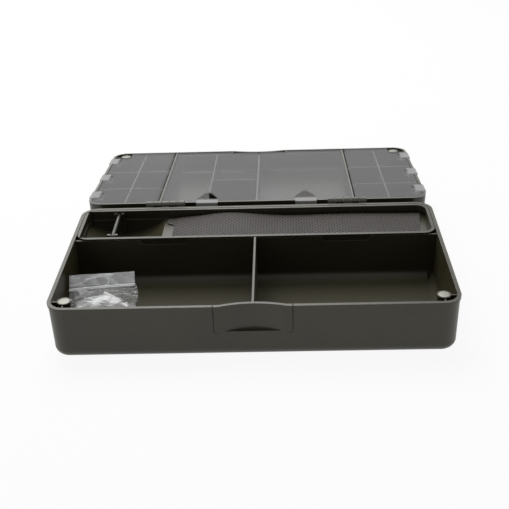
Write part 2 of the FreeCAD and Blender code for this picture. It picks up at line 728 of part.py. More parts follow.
def make_lid_walls():
    for side_name, side in SIDES.items():
        wall = new_body("lid_section_wall_" + side_name)
        place = f"{side} * section_wall_place"
        long_wall(wall, "Section" + side_name.title(), place, "long_wall_thickness", "cover_top")
        in_lid(wall)
    wall = new_body("lid_centre_wall")
    end = "lid_scoop_centre - bulge_radius - running_gap"
    long_wall(wall, "Centre", "0", "long_wall_thickness", end=end, end_top="wall_top")
    in_lid(wall)
    for side_name, side in SIDES.items():
        grid = new_body("lid_grid_" + side_name)
        tag = side_name.title()
        place = f"{side} * grid_column_place"
        long_wall(grid, "Column" + tag, place, "grid_wall_thickness", end_top="wall_top")
        for turn, place in enumerate(("first_row_place", "second_row_place")):
            cross_wall(grid, f"Row{tag}{turn}", place, side)
        in_lid(grid)
    grid = new_body("lid_mid_partition")
    long_wall(grid, "MidColumn", "-mid_column_place", "grid_wall_thickness",
              start_top="wall_top - finger_room_depth", step="window_start + window_length + overrun")
    half = "grid_wall_thickness / 2"
    x = ("-mid_column_place", "-long_wall_thickness / 2 - pin_fit")
    y = (f"mid_row_place - {half}", f"mid_row_place + {half}")
    block(grid, "MidRow", x, y, ("lid_skin", "wall_top"))
    in_lid(grid)


# Clear covers, modelled in the flat lid


def make_mid_cover(side_name, side):
    cover = new_body("cover_mid_" + side_name)
    tag = side_name.title()
    z = ("cover_under", "cover_top")
    inner = "cover_gap"
    block(cover, "MidPlate" + tag, span(side, inner, "mid_cover_edge"), ("cover_near", "mid_axis_s"), z)
    # room for the lid's bulge behind the thumb scoop
    start = ("0", "lid_scoop_centre", "cover_under - overrun")
    deep = "cover_thickness + 2 * overrun"
    rod(cover, "MidBulgeRoom" + tag, "z", start, deep, "bulge_radius + swing_room", True)
    room = span(side, "0", "lug_inner_place + lug_width + running_gap")
    block(cover, "MidLugRoom" + tag, room, ("barrel_room_s - swing_room", "lid_far"),
          ("cover_under - overrun", "cover_top + overrun"), True)
    barrel = span(side, "lug_inner_place + lug_width + running_gap", "lug_outer_place - running_gap")
    length = f"({barrel[1]}) - ({barrel[0]})"
    rod(cover, "MidBarrel" + tag, "x", (barrel[0], "mid_axis_s", "cover_axis"), length, "barrel_radius")
    stub = f"{barrel[0]} - stub_length + running_gap"
    long = f"{length} + 2 * (stub_length - running_gap)"
    rod(cover, "MidStub" + tag, "x", (stub, "mid_axis_s", "cover_axis"), long, "stub_radius")
    # finger window and latch
    middle = f"{side} * latch_place"
    head = "window_head_width / 2"
    path = [
        (f"{middle} - window_width / 2", "window_start"),
        (f"{middle} - {head}", "window_shoulder", "window_head_radius", -1),
        (f"{middle} + {head}", "window_shoulder"),
        (f"{middle} + window_width / 2", "window_start"),
    ]
    window = outline(cover, "WindowOutline" + tag, path, "cover_under - overrun")
    extrude(cover, "Window" + tag, window, "cover_thickness + 2 * overrun", cut=True)
    half = "latch_width / 2"
    x = (f"{middle} - {half}", f"{middle} + {half}")
    band = ("cover_near", "cover_near + latch_band")
    block(cover, "LatchBand" + tag, x, band, ("cover_top - latch_thickness", "cover_top"))
    block(cover, "LatchTongue" + tag, x, ("-latch_proud", "cover_near + cover_thickness"), z)
    hook = ("cover_top - hook_height", "cover_top")
    block(cover, "LatchHook" + tag, x, ("-latch_proud", "-running_gap"), hook)
    in_lid(cover)


def make_side_cover(side_name, side):
    cover = new_body("cover_side_" + side_name)
    tag = side_name.title()
    z = ("cover_under", "cover_top")
    corner = "(rim_corner_radius - lid_wall - cover_gap)"
    # the plate's two outer corners follow the lid's rounded corners
    near, far = "cover_near", "cover_far"
    inner, edge = f"{side} * side_axis_place", f"{side} * side_cover_edge"
    bend = f"{side} * (side_cover_edge - {corner})"
    path = [
        (inner, near),
        (bend, near, corner, side),
        (edge, f"{near} + {corner}"),
        (edge, f"{far} - {corner}", corner, side),
        (bend, far),
        (inner, far),
    ]
    plate = outline(cover, "SideOutline" + tag, path, "cover_under")
    extrude(cover, "SidePlate" + tag, plate, "cover_thickness")
    # room for the magnet post in the front corner
    reach = "(post_radius + cover_gap)"
    tall = ("cover_under - overrun", "cover_top + overrun")
    middle = f"{side} * magnet_x"
    start = (middle, "lid_magnet_s", tall[0])
    rod(cover, "PostRoom" + tag, "z", start, "cover_thickness + 2 * overrun", reach, True)
    x = span(side, f"magnet_x - {reach}", "half_width")
    block(cover, "PostCornerA" + tag, x, ("lid_magnet_s", "box_depth"), tall, True)
    x = span(side, "magnet_x", "half_width")
    block(cover, "PostCornerB" + tag, x, (f"lid_magnet_s - {reach}", "box_depth"), tall, True)
    rod(cover, "SideBarrel" + tag, "y", (inner, near, "cover_axis"), f"{far} - {near}", "barrel_radius")
    stub = (inner, f"{near} - stub_length", "cover_axis")
    rod(cover, "SideStub" + tag, "y", stub, f"{far} - {near} + 2 * stub_length", "stub_radius")
    for turn, place in enumerate(("first_latch_place", "second_latch_place", "third_latch_place")):
        y = (f"{place} - side_latch_width / 2", f"{place} + side_latch_width / 2")
        band = span(side, "side_cover_edge - latch_band", "side_cover_edge - lid_fall")
        block(cover, f"SideBand{tag}{turn}", band, y, ("cover_top - latch_thickness", "cover_top"))
        tongue = span(side, "side_cover_edge - cover_thickness", "half_width + latch_proud")
        block(cover, f"SideTongue{tag}{turn}", tongue, y, z)
        hook = span(side, "half_width + running_gap", "half_width + latch_proud")
        block(cover, f"SideHook{tag}{turn}", hook, y, ("cover_top - hook_height", "cover_top"))
    in_lid(cover)


# Lift-out tray and what lies in it


def cradle(body, name, place):
    """An upright plate across the trough with an open U slot for the spindle."""
    middle = "(-spindle_place)"
    x = (f"{middle} - cradle_width / 2", f"{middle} + cradle_width / 2")
    y = (place, f"{place} + cradle_thickness")
    block(body, name + "Plate", x, y, ("trough_bottom - trough_wall / 2", "spindle_z + cradle_rise"))
    slot = "(spindle_radius + spindle_fit)"
    start = (middle, f"{place} - overrun", "spindle_z")
    rod(body, name + "Seat", "y", start, "cradle_thickness + overrun", slot, True)
    x = (f"{middle} - {slot}", f"{middle} + {slot}")
    y = (f"{place} - overrun", f"{place} + cradle_thickness")
    block(body, name + "Slot", x, y, ("spindle_z", "tray_top"), True)


def make_tray():
    tray = new_body("tray")
    corner = "tray_corner_radius"
    x = ("tray_draft - tray_body_x", "tray_body_x - tray_draft")
    y = ("tray_body_front + tray_draft", "tray_body_back - tray_draft")
    outside = rounded(tray, "TrayOutline", x, y, f"({corner} - tray_draft)", "tray_low")
    extrude(tray, "TrayOutside", outside, "tray_rim_under - tray_low", taper="tray_angle")
    rim_y = ("tray_rim_front", "tray_rim_back")
    rim = rounded(tray, "TrayRimOutline", ("-tray_rim_x", "tray_rim_x"), rim_y, f"({corner} + tray_gap)",
                  "tray_rim_under")
    extrude(tray, "TrayRim", rim, "tray_rim_thickness")
    # the mouth inside the rim, then a slightly wider stretch under its lip
    open_x = ("-tray_open_x", "tray_open_x")
    open_y = ("tray_open_front", "tray_open_back")
    inner = f"({corner} + tray_gap - tray_rim_width)"
    mouth = rounded(tray, "MouthOutline", open_x, open_y, inner, "ledge_top")
    extrude(tray, "Mouth", mouth, "ledge_drop", cut=True)
    room = "(tray_body_x - tray_wall)"
    y = ("tray_open_front", "tray_body_back - tray_wall")
    under = rounded(tray, "UnderLipOutline", (f"-{room}", room), y, inner, "ledge_top")
    extrude(tray, "UnderLip", under, "ledge_drop - tray_lip_height", cut=True)
    # long bay under the mat
    x = ("left_ledge_width - left_ledge_start", "right_ledge_start")
    inset = "(tray_draft + tray_wall)"
    y = (f"tray_body_front + {inset}", f"tray_body_back - {inset}")
    bay = rounded(tray, "BayOutline", x, y, "tray_edge_radius", "tray_low + tray_floor")
    extrude(tray, "Bay", bay, "ledge_top", cut=True)
    soften(tray, "BayEdge", "tray_edge_radius - tray_wall", at_level("tray_low + tray_floor"))
    soften(tray, "TrayEdge", "tray_edge_radius", at_level("tray_low"))
    make_spool_bay(tray, inset)
    cradle(tray, "FrontCradle", "front_cradle_place")
    cradle(tray, "BackCradle", "back_cradle_place")


def make_spool_bay(tray, inset):
    """The curved trough that a line spool turns in, moulded hollow from below."""
    left, right = "-tray_open_x", "-left_ledge_start"
    middle = "(-trough_place)"
    roof = "tray_top"
    rises = []
    for place in (left, right):
        drop = f"sqrt(trough_radius * trough_radius - ({place} - {middle}) * ({place} - {middle}))"
        rises.append(f"trough_centre - {drop}")
    path = [(left, rises[0], "trough_radius", 1), (right, rises[1]), (right, roof), (left, roof)]
    profile = outline(tray, "TroughProfile", path, "-tray_open_front", "XZ_Plane")
    extrude(tray, "Trough", profile, "tray_open_back - tray_open_front", cut=True, back=True)
    left = f"{inset} + tray_draft - tray_body_x"
    right = "-left_ledge_start - trough_wall"
    shell = "(trough_radius + trough_wall)"
    rises = []
    for place in (left, right):
        drop = f"sqrt({shell} * {shell} - ({place} - {middle}) * ({place} - {middle}))"
        rises.append(f"trough_centre - {drop}")
    floor = "tray_low - overrun"
    path = [(left, floor), (right, floor), (right, rises[1], shell, -1), (left, rises[0])]
    profile = outline(tray, "UnderTroughProfile", path, f"-(tray_body_front + {inset})", "XZ_Plane")
    length = f"tray_body_back - tray_body_front - 2 * {inset}"
    extrude(tray, "UnderTrough", profile, length, cut=True, back=True)


def make_spindle():
    spindle = new_body("spool_spindle")
    place = ("-spindle_place", "spindle_front", "spindle_z")
    rod(spindle, "Spindle", "y", place, "spindle_length", "spindle_radius")
    clip = new_body("spindle_clip")
    start = ("-spindle_place", "front_cradle_place - clip_gap - clip_thickness", "spindle_z")
    rod(clip, "ClipRing", "y", start, "clip_thickness", "clip_radius")
    rod(clip, "ClipBore", "y", (start[0], f"{start[1]} - overrun", start[2]), "clip_thickness + 2 * overrun",
        "spindle_radius + pin_fit", True)


# The mat's rise above its rest as shares of its bow, at shares of its length from left to right
MAT_PLACE_SHARES = (0, 0.07, 0.16, 0.27, 0.40, 0.52, 0.66, 0.80, 1)
MAT_RISE_SHARES = (0, 0.06, 0.62, 1.00, 0.60, 0.10, 0.14, 0.20, 0)


def make_mat():
    """A textured mat laid over the long bay, bowed up near its left end."""
    left = -number("mat_left + mat_ear")
    right = number("mat_right_back")
    front, back = number("mat_front"), number("mat_back")
    rest, bow, thick = number("mat_rest"), number("mat_bow"), number("mat_thickness")
    under = [
        FreeCAD.Vector(left + (right - left) * place, front, rest + bow * rise)
        for place, rise in zip(MAT_PLACE_SHARES, MAT_RISE_SHARES)
    ]
    low, high = Part.BSplineCurve(), Part.BSplineCurve()
    low.interpolate(under)
    high.interpolate([point + Z_AXIS * thick for point in under])
    edges = [low.toShape(), high.toShape()]
    for point in (under[0], under[-1]):
        edges.append(Part.makeLine(point, point + Z_AXIS * thick))
    face = Part.Face(Part.Wire(Part.__sortEdges__(edges)))
    sheet_shape = face.extrude(Y_AXIS * (back - front))
    ear_front = back - number("mat_ear_depth")
    plan = [
        (-number("mat_left"), front),
        (number("mat_right_front"), front),
        (right, back),
        (left, back),
        (left, ear_front),
        (-number("mat_left"), ear_front),
    ]
    corners = [FreeCAD.Vector(x, y, 0) for x, y in plan]
    blank = Part.Face(Part.makePolygon(corners + corners[:1])).extrude(Z_AXIS * number("base_height"))
    mat = doc.addObject("Part::Feature", "tray_mat")
    mat.Label = "tray_mat"
    mat.Shape = sheet_shape.common(blank).Solids[0]
    parts.append(mat)


# Grip-seal bag, modelled upright: X along its width, Y through its thickness, Z up its height


def pouch_path(half_depth, inset):
    """The bulging lower part of the bag seen from its side: two arcs between narrow ends."""
    foot = f"({inset})"
    mouth = f"(pouch_mouth / 2 - {inset} / 2)"
    top = f"(pouch_height - {inset})"
    chord = f"({top} - {foot})"
    deep = f"({half_depth})"
    radius = f"({chord} * {chord} / 4 + {deep} * {deep}) / (2 * {deep})"
    return [(f"-{mouth}", foot), (mouth, foot, radius, 1), (mouth, top), (f"-{mouth}", top, radius, 1)]


def make_bag():
    film = new_body("bag_film")
    start = "pouch_edge"
    outer = outline(film, "PouchOutline", pouch_path("pouch_half_depth", "0"), start, "YZ_Plane")
    extrude(film, "Pouch", outer, "pouch_width")
    half = "bag_film / 2"
    block(film, "BagSheet", ("0", "bag_width"), (f"-{half}", half), ("pouch_height / 2", "bag_height"))
    inner_path = pouch_path("(pouch_half_depth - bag_film)", "bag_film")
    inner = outline(film, "PouchHollow", inner_path, f"{start} + bag_film", "YZ_Plane")
    extrude(film, "PouchInside", inner, "pouch_width - 2 * bag_film", cut=True)
    in_bag(film)
    seal = new_body("bag_seal")
    y = (f"-{half} - seal_thickness", f"-{half}")
    block(seal, "SealStrip", ("0", "bag_width"), y, ("seal_place", "seal_place + seal_height"))
    in_bag(seal)
    make_sleeves()


# How many sleeves stand in each column of the heap, and which of them have neighbours in front and behind
HEAP_COUNTS = (4, 5, 6, 4)
DEEP_TURNS = (2, 3)


def make_sleeves():
    """Small white sleeves jumbled in the bag, in columns that lean to and fro."""
    radius, length, gap = number("sleeve_radius"), number("sleeve_length"), number("sleeve_gap")
    tilt = math.radians(number("sleeve_tilt"))
    column = length * math.cos(tilt) + 2 * radius * math.sin(tilt) + gap
    rise = 2 * radius / math.cos(tilt) + gap
    layer = 2 * radius + gap
    first = (number("bag_width") - column * (len(HEAP_COUNTS) - 1)) / 2
    foot = number("bag_film") + length / 2 * math.sin(tilt) + radius + gap
    heap = []
    for across, count in enumerate(HEAP_COUNTS):
        for turn in range(count):
            for deep in (-1, 0, 1) if turn in DEEP_TURNS else (0,):
                lean = tilt if (across + deep) % 2 else -tilt
                along = FreeCAD.Vector(math.cos(lean), 0, math.sin(lean))
                middle = FreeCAD.Vector(first + across * column, deep * layer, foot + turn * rise)
                start = middle - along * (length / 2)
                sleeve = Part.makeCylinder(radius, length, start, along)
                heap.append(sleeve.cut(Part.makeCylinder(number("sleeve_bore"), length, start, along)))
    sleeves = doc.addObject("Part::Feature", "bag_sleeves")
    sleeves.Label = "bag_sleeves"
    sleeves.Shape = Part.makeCompound(heap)
    in_bag(sleeves)
    parts.append(sleeves)


# Checks and export


def check_document():
    """Stops on a failed object, an empty or invalid shape, or a feature that changed nothing."""
    for item in doc.Objects:
        if {"Invalid", "Error"} & set(item.State):
            raise RuntimeError(f"{item.Label} did not compute: {item.State}")
    for part in parts:
        if part.Shape.isNull() or not part.Shape.isValid():
            raise RuntimeError(f"{part.Label} has no valid shape")
        if not part.isDerivedFrom("PartDesign::Body"):
            continue
        before = 0
        for feature in part.Group:
            if feature.isDerivedFrom("Sketcher::SketchObject"):
                continue
            if abs(feature.Shape.Volume - before) < TINY:
                raise RuntimeError(f"{part.Label}: {feature.Label} changes nothing")
            before = feature.Shape.Volume


def main():
    fill_sheet()
    make_base_tub()
    make_base_magnets()
    make_hinge_pins()
    make_lid_shell()
    in_lid(parts[-1])
    make_lid_magnets()
    make_lid_walls()
    for side_name, side in SIDES.items():
        make_mid_cover(side_name, side)
        make_side_cover(side_name, side)
    make_tray()
    make_spindle()
    make_mat()
    make_bag()
    doc.recompute()
    check_document()
    os.makedirs("parts", exist_ok=True)
    for part in parts:
        part.Shape.exportStep(f"parts/{part.Label}.step")


main()
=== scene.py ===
import logging
import math
from collections.abc import Iterable
from dataclasses import dataclass, field
from enum import Enum

import bmesh
import bpy
import numpy as np
from mathutils import Matrix, Vector


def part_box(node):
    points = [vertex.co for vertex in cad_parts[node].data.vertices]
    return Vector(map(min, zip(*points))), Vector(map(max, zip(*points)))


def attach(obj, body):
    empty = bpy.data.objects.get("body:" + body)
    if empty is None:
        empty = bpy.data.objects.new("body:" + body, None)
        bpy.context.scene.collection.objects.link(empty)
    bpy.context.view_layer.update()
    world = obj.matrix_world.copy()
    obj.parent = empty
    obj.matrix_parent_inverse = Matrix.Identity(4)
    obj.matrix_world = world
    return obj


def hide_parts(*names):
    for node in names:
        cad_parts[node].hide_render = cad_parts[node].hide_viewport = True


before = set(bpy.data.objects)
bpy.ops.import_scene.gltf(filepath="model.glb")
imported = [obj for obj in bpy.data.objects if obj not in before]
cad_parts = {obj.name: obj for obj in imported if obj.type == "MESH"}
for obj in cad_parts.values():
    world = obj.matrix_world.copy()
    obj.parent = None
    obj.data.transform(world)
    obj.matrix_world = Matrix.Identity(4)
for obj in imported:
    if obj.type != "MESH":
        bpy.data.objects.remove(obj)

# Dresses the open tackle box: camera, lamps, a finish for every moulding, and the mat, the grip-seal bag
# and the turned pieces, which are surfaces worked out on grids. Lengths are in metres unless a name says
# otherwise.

log = logging.getLogger("tackle_box")

MM = 0.001
WHITE = (1.0, 1.0, 1.0, 1.0)
LID_TILT = math.radians(6.805876)
FRONT_WALL_BACK = (-94 * MM, -92 * MM)
BAG_CORNER = Vector((-169.9, -63.7, 3.1)) * MM
BAG_LEAN = Matrix.Rotation(math.radians(5.5), 4, "Z") @ Matrix.Rotation(math.radians(-50), 4, "X")
BAG_POSE = Matrix.Translation(BAG_CORNER) @ BAG_LEAN


def linear(red: int, green: int, blue: int) -> tuple[float, float, float, float]:
    """A colour read off a screen, 0 to 255, as the linear colour that a shader takes.

    Args:
        red, green, blue: the screen's values.

    Returns:
        Red, green, blue and an alpha of one.
    """
    shares = (red / 255, green / 255, blue / 255)
    flat = [c / 12.92 if c <= 0.04045 else ((c + 0.055) / 1.055) ** 2.4 for c in shares]
    return (flat[0], flat[1], flat[2], 1.0)


# Shader nodes


class Value:
    """A number's socket, whose arithmetic adds Math nodes."""

    def __init__(self, graph: "Graph", socket: bpy.types.NodeSocket) -> None:
        """Keeps the socket with the graph that it belongs to."""
        self.graph = graph
        self.socket = socket

    def math(self, operation: str, *terms: "Value | float") -> "Value":
        """One Math node on these terms, clamped by no setting of its own."""
        node = self.graph.node("ShaderNodeMath", {"operation": operation}, dict(enumerate(terms)))
        return Value(self.graph, node.outputs[0])

    def __add__(self, other: "Value | float") -> "Value":
        """Sum."""
        return self.math("ADD", self, other)

    __radd__ = __add__

    def __sub__(self, other: "Value | float") -> "Value":
        """Difference."""
        return self.math("SUBTRACT", self, other)

    def __rsub__(self, other: "Value | float") -> "Value":
        """Difference from a number."""
        return self.math("SUBTRACT", other, self)

    def __mul__(self, other: "Value | float") -> "Value":
        """Product."""
        return self.math("MULTIPLY", self, other)

    __rmul__ = __mul__

    def __truediv__(self, other: "Value | float") -> "Value":
        """Quotient."""
        return self.math("DIVIDE", self, other)

    def __pow__(self, other: float) -> "Value":
        """Power."""
        return self.math("POWER", self, other)

    def ping_pong(self, scale: float) -> "Value":
        """A zigzag between zero and scale."""
        return self.math("PINGPONG", self, scale)

    def size(self) -> "Value":
        """The number without its sign."""
        return self.math("ABSOLUTE", self)

    def near(self, middle: float, reach: float, soft: float) -> "Value":
        """One within reach of middle, and zero past a soft margin outside it."""
        return 1 - (self - middle).size().step(reach, reach + soft)

    def at_least(self, floor: "Value | float") -> "Value":
        """The larger of the two."""
        return self.math("MAXIMUM", self, floor)

    def step(self, low: float, high: float) -> "Value":
        """A smooth step from zero at low to one at high."""
        settings = {"interpolation_type": "SMOOTHSTEP"}
        node = self.graph.node("ShaderNodeMapRange", settings, {0: self, 1: low, 2: high})
        return Value(self.graph, node.outputs[0])


class Graph:
    """A node tree and the calls that fill it."""

    def __init__(self, tree: bpy.types.NodeTree) -> None:
        """Starts on an empty tree."""
        self.tree = tree
        tree.nodes.clear()

    def node(self, kind: str, settings: dict, inputs: dict) -> bpy.types.Node:
        """Adds a node.

        Args:
            kind: the node's type.
            settings: the node's own settings, which are set first.
            inputs: socket names or numbers, with a value or a link for each.

        Returns:
            The new node.
        """
        node = self.tree.nodes.new(kind)
        for key, value in settings.items():
            setattr(node, key, value)
        for key, value in inputs.items():
            value = value.socket if isinstance(value, Value) else value
            if isinstance(value, bpy.types.NodeSocket):
                self.tree.links.new(value, node.inputs[key])
            else:
                node.inputs[key].default_value = value
        return node

    def number(self, node: bpy.types.Node, output: int | str = 0) -> Value:
        """A node's output as a number."""
        return Value(self, node.outputs[output])

    def place(self, turn: tuple[float, float, float] = (0, 0, 0)) -> bpy.types.NodeSocket:
        """Object coordinates in metres, turned about the three axes by degrees."""
        spot = self.node("ShaderNodeTexCoord", {}, {}).outputs["Object"]
        if not any(turn):
            return spot
        inputs = {"Vector": spot, "Rotation": [math.radians(angle) for angle in turn]}
        return self.node("ShaderNodeMapping", {}, inputs).outputs[0]

    def noise(self, scale: float, detail: float = 2,
              stretch: tuple[float, float, float] = (1, 1, 1)) -> Value:
        """Noise of so many features to the metre, drawn out along the axes by stretch."""
        spot = self.place()
        if stretch != (1, 1, 1):
            spot = self.node("ShaderNodeMapping", {}, {"Vector": spot, "Scale": stretch}).outputs[0]
        inputs = {"Vector": spot, "Scale": scale, "Detail": detail}
        return self.number(self.node("ShaderNodeTexNoise", {}, inputs))

    def tint(self, share: Value | float, low: object, high: object) -> bpy.types.NodeSocket:
        """A colour mixed from low to high by share."""
        return self.node("ShaderNodeMix", {"data_type": "RGBA"}, {0: share, 6: low, 7: high}).outputs[2]

    def edge_normal(self, radius: float) -> bpy.types.NodeSocket:
        """The normal with every edge rounded by radius."""
        return self.node("ShaderNodeBevel", {"samples": 4}, {"Radius": radius}).outputs[0]

    def edge_mask(self, rounded: bpy.types.NodeSocket) -> Value:
        """Zero on the flat and up to one along an edge: how far the rounded normal leaves the true one."""
        true = self.node("ShaderNodeNewGeometry", {}, {}).outputs["True Normal"]
        dot = self.node("ShaderNodeVectorMath", {"operation": "DOT_PRODUCT"}, {0: rounded, 1: true})
        return (1 - self.number(dot, "Value")).step(0.01, 0.3)

    def openness(self, reach: float) -> Value:
        """One where nothing stands within reach of the surface, and less in a groove or an inner corner."""
        settings = {"samples": 6, "only_local": False}
        return self.number(self.node("ShaderNodeAmbientOcclusion", settings, {"Distance": reach}), "AO")

    def axes(self) -> tuple[Value, Value, Value]:
        """The three object coordinates as numbers, in metres."""
        split = self.node("ShaderNodeSeparateXYZ", {}, {0: self.place()})
        return tuple(self.number(split, axis) for axis in "XYZ")

    def facing(self, axis: str) -> Value:
        """How far a face looks along one of the object's own axes, from minus one to one."""
        normal = self.node("ShaderNodeTexCoord", {}, {}).outputs["Normal"]
        return self.number(self.node("ShaderNodeSeparateXYZ", {}, {0: normal}), axis)

    def bump(self, height: Value, depth: float, normal: bpy.types.NodeSocket | None = None,
             strength: float = 1.0) -> bpy.types.NodeSocket:
        """A normal from a height of zero to one that stands for depth in metres."""
        inputs = {"Height": height, "Distance": depth, "Strength": strength}
        if normal:
            inputs["Normal"] = normal
        return self.node("ShaderNodeBump", {}, inputs).outputs[0]


def toned(colour: tuple[float, float, float, float], share: float, lift: float = 0.0) -> list[float]:
    """A colour times a share, plus a lift, with an alpha of one."""
    return [channel * share + lift for channel in colour[:3]] + [1.0]


@dataclass(frozen=True)
class Finish:
    """A finish: its name, and the shader sockets that hold one value all over."""

    name: str
    fixed: dict = field(default_factory=dict)

    def shade(self, graph: Graph) -> dict:
        """What varies over the surface, as shader sockets and their links."""
        return {}

    def material(self) -> bpy.types.Material:
        """Makes the material."""
        made = bpy.data.materials.new(self.name)
        made.use_nodes = True
        graph = Graph(made.node_tree)
        shader = graph.node("ShaderNodeBsdfPrincipled", {}, {**self.fixed, **self.shade(graph)})
        graph.node("ShaderNodeOutputMaterial", {}, {"Surface": shader.outputs[0]})
        return made


@dataclass(frozen=True)
class SparkedMoulding(Finish):
    """Dark olive moulding with a fine spark-eroded grain, paler along its edges from wear and a painted
    highlight.
    """

    colour: tuple[float, float, float, float] = WHITE
    # The colour of rubbed edges, which also stands for a painted highlight along them.
    worn_and_lit: tuple[float, float, float, float] = WHITE
    grain: float = 1400
    grain_depth: float = 0.012 * MM
    # How far faces behind the front wall that look to the front are painted into shade.
    shadowed: float = 0.6
    matt: tuple[float, float, float, float] = WHITE
    edge: float = 0.3 * MM
    rough: float = 0.36
    cloud: float = 16
    rub: float = 260
    crease_reach: float = 1.6 * MM
    groove_depth: float = 8

    def groove(self, graph: Graph) -> Value | float:
        """Where a moulded line runs that is finer than the solids, painted dark as shade: none here."""
        return 0.0

    def inside(self, graph: Graph) -> Value | float:
        """Where the moulding is the matt inside of a deep compartment: nowhere here."""
        return 0.0

    def painted_front_shade(self, graph: Graph) -> Value:
        """One where a face behind the front wall looks to the front, where little light comes from: the
        mask for painted shade there.
        """
        return (1 - graph.facing("Y").step(-0.9, -0.4)) * graph.axes()[1].step(*FRONT_WALL_BACK)

    def shade(self, graph: Graph) -> dict:
        """Cloudy tone, grain in the gloss, outer edges paler from wear and a painted highlight, painted
        shade in creases, grooves and front-facing faces, and edges rounded in the normal."""
        cloud = graph.noise(self.cloud, 3)
        grain = graph.noise(self.grain, 2)
        rounded = graph.edge_normal(self.edge)
        clear = graph.openness(self.crease_reach)
        groove = self.groove(graph)
        inside = self.inside(graph)
        patchy = 0.6 + 0.4 * graph.noise(self.rub, 3).step(0.3, 0.7)
        # Outer edges paler: real wear, and a painted highlight where an edge would catch the light.
        worn_and_lit_edge = graph.edge_mask(rounded) * clear.step(0.6, 0.95) * patchy
        clouded = graph.tint(cloud.step(0.3, 0.7), toned(self.colour, 0.86), toned(self.colour, 1.12))
        tone = graph.tint(inside, clouded, self.matt)
        # A near-black tone painted into creases, grooves and front-facing faces as shade.
        deep = toned(self.colour, 0.15)
        # Painted shade in creases and inner corners, where little is open round the surface.
        crease = (1 - clear.step(0.15, 0.7)) * 0.8
        shaded = graph.tint(crease.at_least(self.painted_front_shade(graph) * self.shadowed), tone, deep)
        # The panel's groove painted dark as shade.
        lined = graph.tint(groove, shaded, deep)
        return {
            "Base Color": graph.tint(worn_and_lit_edge * 0.85, lined, self.worn_and_lit),
            "Roughness": self.rough + 0.1 * (grain - 0.5) + 0.08 * (cloud - 0.5) + 0.4 * (groove + inside),
            "Normal": graph.bump(grain - self.groove_depth * groove, self.grain_depth, rounded, 0.6),
        }


@dataclass(frozen=True)
class PanelledMoulding(SparkedMoulding):
    """The base's moulding, with the fine line that edges the panel round its thumb scoop, painted dark as
    shade.
    """

    panel_half: float = 34.5 * MM
    panel_low: float = 24.5 * MM
    corner: float = 3 * MM
    front: float = -96 * MM
    line: float = 0.35 * MM
    line_edge: float = 0.3 * MM
    line_starts: tuple[float, float] = (28 * MM, 34 * MM)
    floor: float = 3.4 * MM
    floor_fade: float = 9 * MM

    def inside(self, graph: Graph) -> Value:
        """The compartments' floors, behind the front wall and below a height."""
        _, y, z = graph.axes()
        return (1 - z.step(self.floor, self.floor + self.floor_fade)) * y.step(*FRONT_WALL_BACK)

    def groove(self, graph: Graph) -> Value:
        """A line on the distance from a rounded rectangle: the length of what passes its corner's centre,
        less the corner's radius. It fades under the middle of the panel and behind the front."""
        x, y, z = graph.axes()
        out = (x.size() - (self.panel_half - self.corner)).at_least(0.0)
        down = (self.panel_low + self.corner - z).at_least(0.0)
        distance = (out * out + down * down) ** 0.5 - self.corner
        # This mask paints the groove dark, as shade.
        line = distance.near(0, self.line, self.line_edge) * x.size().step(*self.line_starts)
        return line * (1 - y.step(self.front, self.front + 1 * MM))


@dataclass(frozen=True)
class PalePartition(SparkedMoulding):
    """A partition's moulding, whose up-facing top is painted pale as a highlight where the cover lies on
    it.
    """

    # How far up-facing tops are painted pale, as a highlight.
    top_highlight: float = 0.5

    def shade(self, graph: Graph) -> dict:
        """The lid's moulding, mixed towards the pale colour where the face looks up: a painted highlight.
        """
        made = super().shade(graph)
        share = graph.facing("Z").step(0.8, 0.97) * self.top_highlight
        return {**made, "Base Color": graph.tint(share, made["Base Color"], self.worn_and_lit)}


@dataclass(frozen=True)
class SmokedClear(Finish):
    """Smoke-tinted clear moulding, milky along its edges and in its latches, with faint flow lines."""

    colour: tuple[float, float, float, float] = WHITE
    edge_colour: tuple[float, float, float, float] = WHITE
    body: float = 0.26
    edge: float = 0.5 * MM
    latch_x: float = 52.3 * MM
    latch_half: float = 11.4 * MM
    latch_back: tuple[float, float] = (123.8 * MM, 124.2 * MM)
    side_x: float = 171.3 * MM
    side_half: float = 11.1 * MM
    side_places: tuple[float, ...] = (149.8 * MM, 212.8 * MM, 279.4 * MM)
    latch_edge: float = 0.3 * MM
    flow_depth: float = 0.12 * MM

    def latches(self, graph: Graph) -> Value:
        """One in the thick latches: near the hinge side about a place in X, and at the rims about places in
        Y."""
        x, y, _ = graph.axes()
        near = x.size().near(self.latch_x, self.latch_half, self.latch_edge)
        near = near * (1 - y.step(*self.latch_back))
        beside = sum((y.near(place, self.side_half, self.latch_edge) for place in self.side_places), 0.0)
        return near + beside * x.size().step(self.side_x, self.side_x + self.latch_edge)

    def shade(self, graph: Graph) -> dict:
        """Smoke that thickens at edges and latches, haze from handling, long soft flow lines in the
        normal."""
        rounded = graph.edge_normal(self.edge)
        edge = graph.edge_mask(rounded)
        latch = self.latches(graph)
        cloud = graph.noise(9, 3)
        haze = graph.noise(60, 4).step(0.45, 0.75)
        flow = graph.noise(22, 1, (1.0, 0.35, 1.0))
        return {
            "Base Color": graph.tint((edge * 0.8).at_least(latch * 0.45), self.colour, self.edge_colour),
            "Roughness": 0.13 + 0.1 * haze + 0.05 * cloud + 0.15 * latch,
            "Alpha": self.body + 0.06 * (cloud - 0.5) + 0.4 * edge + 0.5 * latch,
            "Normal": graph.bump(flow, self.flow_depth, rounded, 0.5),
        }


